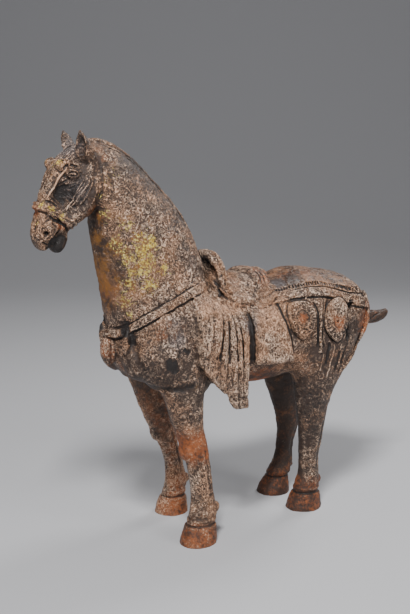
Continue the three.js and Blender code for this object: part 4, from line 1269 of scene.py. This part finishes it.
def parted(whole, name, cuts):
    pickOnly(whole)
    bpy.ops.object.duplicate()
    piece = bpy.context.object
    piece.name = name
    piece.data.name = name
    bpy.ops.object.mode_set(mode="EDIT")
    for (place, normal), ahead in cuts:
        bpy.ops.mesh.select_all(action="SELECT")
        bpy.ops.mesh.bisect(plane_co=place, plane_no=normal, use_fill=True,
                            clear_inner=ahead, clear_outer=not ahead)
    bpy.ops.object.mode_set(mode="OBJECT")
    places = placesOf(piece)
    free = piece.vertex_groups.new(name="free")
    onCut = np.zeros(len(places), bool)
    for (place, normal), _ in cuts:
        onCut |= np.abs((places - np.array(place)) @ np.array(normal)) < 1e-6
    free.add(np.flatnonzero(~onCut).tolist(), 1.0, "REPLACE")
    triangles = sum(len(p.vertices) - 2 for p in piece.data.polygons)
    applyModifier(piece, "DECIMATE", decimate_type="COLLAPSE", ratio=min(1.0, faceLimit / triangles),
                  use_collapse_triangulate=True, vertex_group="free")
    piece.vertex_groups.clear()
    print(name, triangles, len(piece.data.polygons))
    corners = np.empty(len(piece.data.loops), np.int32)
    piece.data.loops.foreach_get("vertex_index", corners)
    starts = np.empty(len(piece.data.polygons), np.int32)
    piece.data.polygons.foreach_get("loop_start", starts)
    places = placesOf(piece)
    smooth = np.ones(len(starts), bool)
    for (place, normal), _ in cuts:
        flush = np.abs((places - np.array(place)) @ np.array(normal)) < 1e-6
        smooth &= ~np.logical_and.reduceat(flush[corners], starts)
    piece.data.polygons.foreach_set("use_smooth", smooth)
    piece.data.update()
    return piece


print("parting")
figure = [parted(horse, name, cuts) for name, cuts in sections.items()]
bpy.data.objects.remove(horse)
pendants.data.polygons.foreach_set("use_smooth", [True] * len(pendants.data.polygons))
figure.append(pendants)


# Finish: sums of sockets read as plain sums
class Tone:
    def __init__(self, kit, out):
        self.kit = kit
        self.out = out

    def maths(self, operation, *others):
        inputs = {i: value for i, value in enumerate((self,) + others)}
        return self.kit.add("ShaderNodeMath", {"operation": operation}, inputs)

    def __add__(self, other):
        return self.maths("ADD", other)

    def __sub__(self, other):
        return self.maths("SUBTRACT", other)

    def __mul__(self, other):
        return self.maths("MULTIPLY", other)

    def __rsub__(self, other):
        return self.kit.add("ShaderNodeMath", {"operation": "SUBTRACT"}, {0: other, 1: self})

    __radd__ = __add__
    __rmul__ = __mul__

    def apart(self, other):
        return (self - other).maths("ABSOLUTE")

    def atLeast(self, other):
        return self.maths("MAXIMUM", other)

    def kept(self):
        return self.maths("MAXIMUM", 0.0).maths("MINIMUM", 1.0)

    # A soft step from nought below low to one above high.
    def step(self, low, high):
        settings = {"interpolation_type": "SMOOTHSTEP"}
        inputs = {"Value": self, "From Min": low, "From Max": high}
        return self.kit.add("ShaderNodeMapRange", settings, inputs)


class Finish:
    def __init__(self, name):
        self.material = bpy.data.materials.new(name)
        self.material.use_nodes = True
        self.tree = self.material.node_tree
        self.shader = self.tree.nodes["Principled BSDF"]
        self.place = self.add("ShaderNodeTexCoord", {}, {}, "Object")

    def plug(self, socket, value):
        if isinstance(value, Tone):
            self.tree.links.new(value.out, socket)
        else:
            socket.default_value = value

    # A node of one type: its settings first, then its sockets.
    def add(self, kind, settings, inputs, output=0):
        node = self.tree.nodes.new(kind)
        for key, value in settings.items():
            setattr(node, key, value)
        for key, value in inputs.items():
            self.plug(node.inputs[key], value)
        return Tone(self, node.outputs[output])

    def marks(self, name):
        node = self.tree.nodes.new("ShaderNodeAttribute")
        node.attribute_name = name
        parts = self.tree.nodes.new("ShaderNodeSeparateColor")
        self.tree.links.new(node.outputs["Color"], parts.inputs["Color"])
        return [Tone(self, parts.outputs[i]) for i in range(3)] + [Tone(self, node.outputs["Alpha"])]

    def noise(self, scale, detail=2.0, rough=0.5, warp=0.0, stretch=(1, 1, 1), shift=0.0):
        spread = self.add("ShaderNodeVectorMath", {"operation": "MULTIPLY"}, {0: self.place, 1: stretch})
        moved = self.add("ShaderNodeVectorMath", {"operation": "ADD"}, {0: spread, 1: (shift,) * 3})
        return self.add("ShaderNodeTexNoise", {}, {
            "Vector": moved, "Scale": scale, "Detail": detail, "Roughness": rough, "Distortion": warp})

    def colour(self, share, low, high):
        return self.add("ShaderNodeMix", {"data_type": "RGBA"}, {"Factor": share, 6: low, 7: high}, 2)


def hue(red, green, blue):
    parts = [c / 255 for c in (red, green, blue)]
    return (*[((c + 0.055) / 1.055) ** 2.4 for c in parts], 1)


clays = {
    "terracotta": hue(156, 86, 42),
    "brown": hue(98, 64, 42),
    "paleBrown": hue(136, 98, 70),
    "patinaAndShade": hue(48, 35, 28),
    # cool grey patina, also the cool painted shade in the gap between cloth and blanket
    "coolPatinaAndShade": hue(66, 61, 62),
    "sootAndShade": hue(26, 20, 18),
    "slip": hue(244, 210, 182),
    "pinkSlip": hue(228, 178, 142),
    "greySlip": hue(176, 168, 166),
    "ochre": hue(150, 100, 34),
    "gold": hue(232, 190, 60),
    "paleGold": hue(250, 232, 150),
}


def firedClay():
    kit = Finish("fired_clay_slip")
    chalkAndHighlight, sunk, sootAndShade, croup = kit.marks("forms")
    sunk = sunk * 2
    slip, earth, dark, grey = kit.marks("tones")
    gold, ochre, cloths, saddle = kit.marks("traces")

    broad = kit.noise(22, 3, 0.55)
    patch = kit.noise(62, 3, 0.6, 0.4, shift=3.1)
    worm = kit.noise(175, 1.2, 0.5, 1.4)
    weave = kit.noise(190, 1.2, 0.5, 1.2, (1.1, 1.1, 0.8), 7.7)
    drape = kit.noise(190, 1.5, 0.5, 0.7, (1.3, 1.3, 0.35), 4.4)
    fine = kit.noise(420, 3, 0.6, shift=1.7)
    speck = kit.noise(260, 2, 0.6, shift=9.2)
    grit = kit.noise(1500, 2, 0.6)

    # Slip is left in winding threads, thick where much of it stays.
    thread = 1 - worm.apart(0.5).step(0.025, 0.075)
    other = 1 - weave.apart(0.56).step(0.01, 0.05)
    hanging = 1 - drape.apart(0.5).step(0.01, 0.05)
    threads = thread.atLeast(other * 0.85).atLeast(hanging * cloths)
    amount = slip + (patch - 0.5) * 0.8 + (broad - 0.5) * 0.6 - sootAndShade * 0.8 - earth * 0.2
    cover = (threads * (0.8 + amount * 0.25)).step(0.5, 0.95)
    solid = (amount + (fine - 0.5) * 1.8 - 0.3).step(0.4, 1.0) * (0.35 + saddle * 0.5)
    chalkyAndHighlight = (chalkAndHighlight + (fine - 0.5) * 1.2 + (speck - 0.5) * 0.8).step(0.25, 0.6)
    white = (cover.atLeast(solid) * amount.step(0.02, 0.45)).atLeast(chalkyAndHighlight).kept()

    # Patina fills what lies between the threads, and soot the hollows. Painted shade joins both: it rises
    # with how sunk a place is and comes with the soot marks.
    film = 0.5 + dark * 0.7 + sunk * 0.5 - (patch - 0.5) * 1.4
    film = film + (fine - 0.5) * 0.9 + (speck - 0.5) * 1.2
    film = (film - (broad - 0.5) * 0.8 - earth * 0.35 - saddle * 0.15).step(0.1, 0.9)
    black = sootAndShade * 1.1 + sunk * 0.35 + (fine - 0.5) * 0.7 + (speck - 0.5) * 1.6 + dark * dark * 0.5
    black = black.step(0.42, 0.92) * (0.92 - saddle * 0.4)

    clay = kit.colour((broad + (fine - 0.5) * 0.5).step(0.35, 0.65), clays["brown"], clays["paleBrown"])
    bareEarth = (earth * 1.2 + (patch - 0.5) * 1.1 - 0.12).step(0.1, 0.75)
    clay = kit.colour(bareEarth, clay, clays["terracotta"])
    shade = kit.colour((broad + (grey - 0.2)).step(0.4, 0.8), clays["patinaAndShade"], clays["coolPatinaAndShade"])
    clay = kit.colour(film * 0.92, clay, shade)
    veil = kit.colour((broad + (fine - 0.5) * 0.6).step(0.42, 0.6), clays["slip"], clays["pinkSlip"])
    veil = kit.colour(grey, veil, clays["greySlip"])
    clay = kit.colour(white * (0.88 - croup * 0.35 - saddle * 0.2), clay, veil)
    stain = ochre.atLeast(gold * 0.75) + (patch - 0.5) * 2.0 + (speck - 0.5) * 1.6
    clay = kit.colour(stain.step(0.35, 0.9) * 0.7, clay, clays["ochre"])
    clay = kit.colour(black, clay, clays["sootAndShade"])

    flake = kit.noise(120, 4, 0.7, 1.2, shift=5.3)
    leafGold = (gold + (flake - 0.5) * 3.6 + (fine - 0.5) * 2.2).step(0.8, 1.0)
    leafGold = leafGold * gold.step(0.12, 0.4)
    sheen = kit.colour(fine.step(0.4, 0.7), clays["gold"], clays["paleGold"])
    clay = kit.colour(leafGold * 0.9, clay, sheen)

    rough = 0.64 - film * 0.16 - croup * 0.28 + white * 0.08 + (grit - 0.5) * 0.2
    kit.plug(kit.shader.inputs["Base Color"], clay)
    kit.plug(kit.shader.inputs["Roughness"], rough - leafGold * 0.25)
    kit.plug(kit.shader.inputs["Metallic"], leafGold * 0.35)
    height = white * (0.9 - croup * 0.6) + fine * 0.4 + grit * 0.2 - black * 0.3 + leafGold * 0.2
    relief = kit.add("ShaderNodeBump", {}, {"Strength": 1.0, "Distance": 0.0024, "Height": height})
    kit.plug(kit.shader.inputs["Normal"], relief)
    return kit.material


print("finish")
finish = firedClay()
for piece in figure:
    piece.data.materials.clear()
    piece.data.materials.append(finish)
    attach(piece, "root")
    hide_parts("tomb_horse")

# Floor, light and camera
camera = {"place": at(-1256.8, -1962.4, 969.4), "look": Vector((0.5072, 0.8441, -0.1736)), "lens": 53.94}
studio = {"half": 7.0, "bendStart": 2.2, "bendRadius": 2.6, "tone": 0.52}


# The floor runs back from the horse and bends up into a plain wall.
def makeFloor():
    clearPick()
    bpy.ops.mesh.primitive_grid_add(x_subdivisions=2, y_subdivisions=80, size=2)
    floor = bpy.context.object
    floor.name = "studio_floor"
    away = camera["look"].xy.normalized()
    flat = placesOf(floor)
    across = flat[:, 0] * studio["half"]
    run = (flat[:, 1] + 1) * studio["half"] - studio["half"] * 0.6
    past = np.clip(run - studio["bendStart"], 0, None)
    turn = np.minimum(past / studio["bendRadius"], math.pi / 2)
    rest = past - turn * studio["bendRadius"]
    depth = np.minimum(run, studio["bendStart"]) + np.sin(turn) * studio["bendRadius"]
    height = (1 - np.cos(turn)) * studio["bendRadius"] + rest
    places = np.stack([away.x * depth + away.y * across, away.y * depth - away.x * across, height], 1)
    putPlaces(floor, places)
    floor.data.polygons.foreach_set("use_smooth", [True] * len(floor.data.polygons))
    plain = bpy.data.materials.new("studio_floor")
    plain.use_nodes = True
    tone = studio["tone"]
    sockets = plain.node_tree.nodes["Principled BSDF"].inputs
    sockets["Base Color"].default_value = (tone, tone, tone * 1.03, 1)
    sockets["Roughness"].default_value = 0.8
    floor.data.materials.append(plain)


print("studio")
makeFloor()
world = bpy.data.worlds.new("studio")
bpy.context.scene.world = world
world.use_nodes = True
world.node_tree.nodes["Background"].inputs["Color"].default_value = (0.62, 0.62, 0.65, 1)
world.node_tree.nodes["Background"].inputs["Strength"].default_value = 0.22


def softLight(name, place, target, size, power):
    bpy.ops.object.light_add(type="AREA", location=place)
    lamp = bpy.context.object
    lamp.name = name
    lamp.data.size = size
    lamp.data.energy = power
    lamp.rotation_euler = (Vector(target) - Vector(place)).to_track_quat("-Z", "Y").to_euler()


softLight("keyLight", (-1.0, -1.2, 2.3), (0, 0, 0.35), 0.5, 80)
softLight("fillLight", (0.9, -2.0, 1.3), (0, 0, 0.35), 0.9, 16)
softLight("rimLight", (1.3, 0.4, 1.6), (0, 0, 0.35), 0.5, 16)

bpy.ops.object.camera_add(location=camera["place"])
view = bpy.context.object
view.data.sensor_width = 36
view.data.lens = camera["lens"]
view.rotation_euler = camera["look"].to_track_quat("-Z", "Y").to_euler()
bpy.context.scene.camera = view
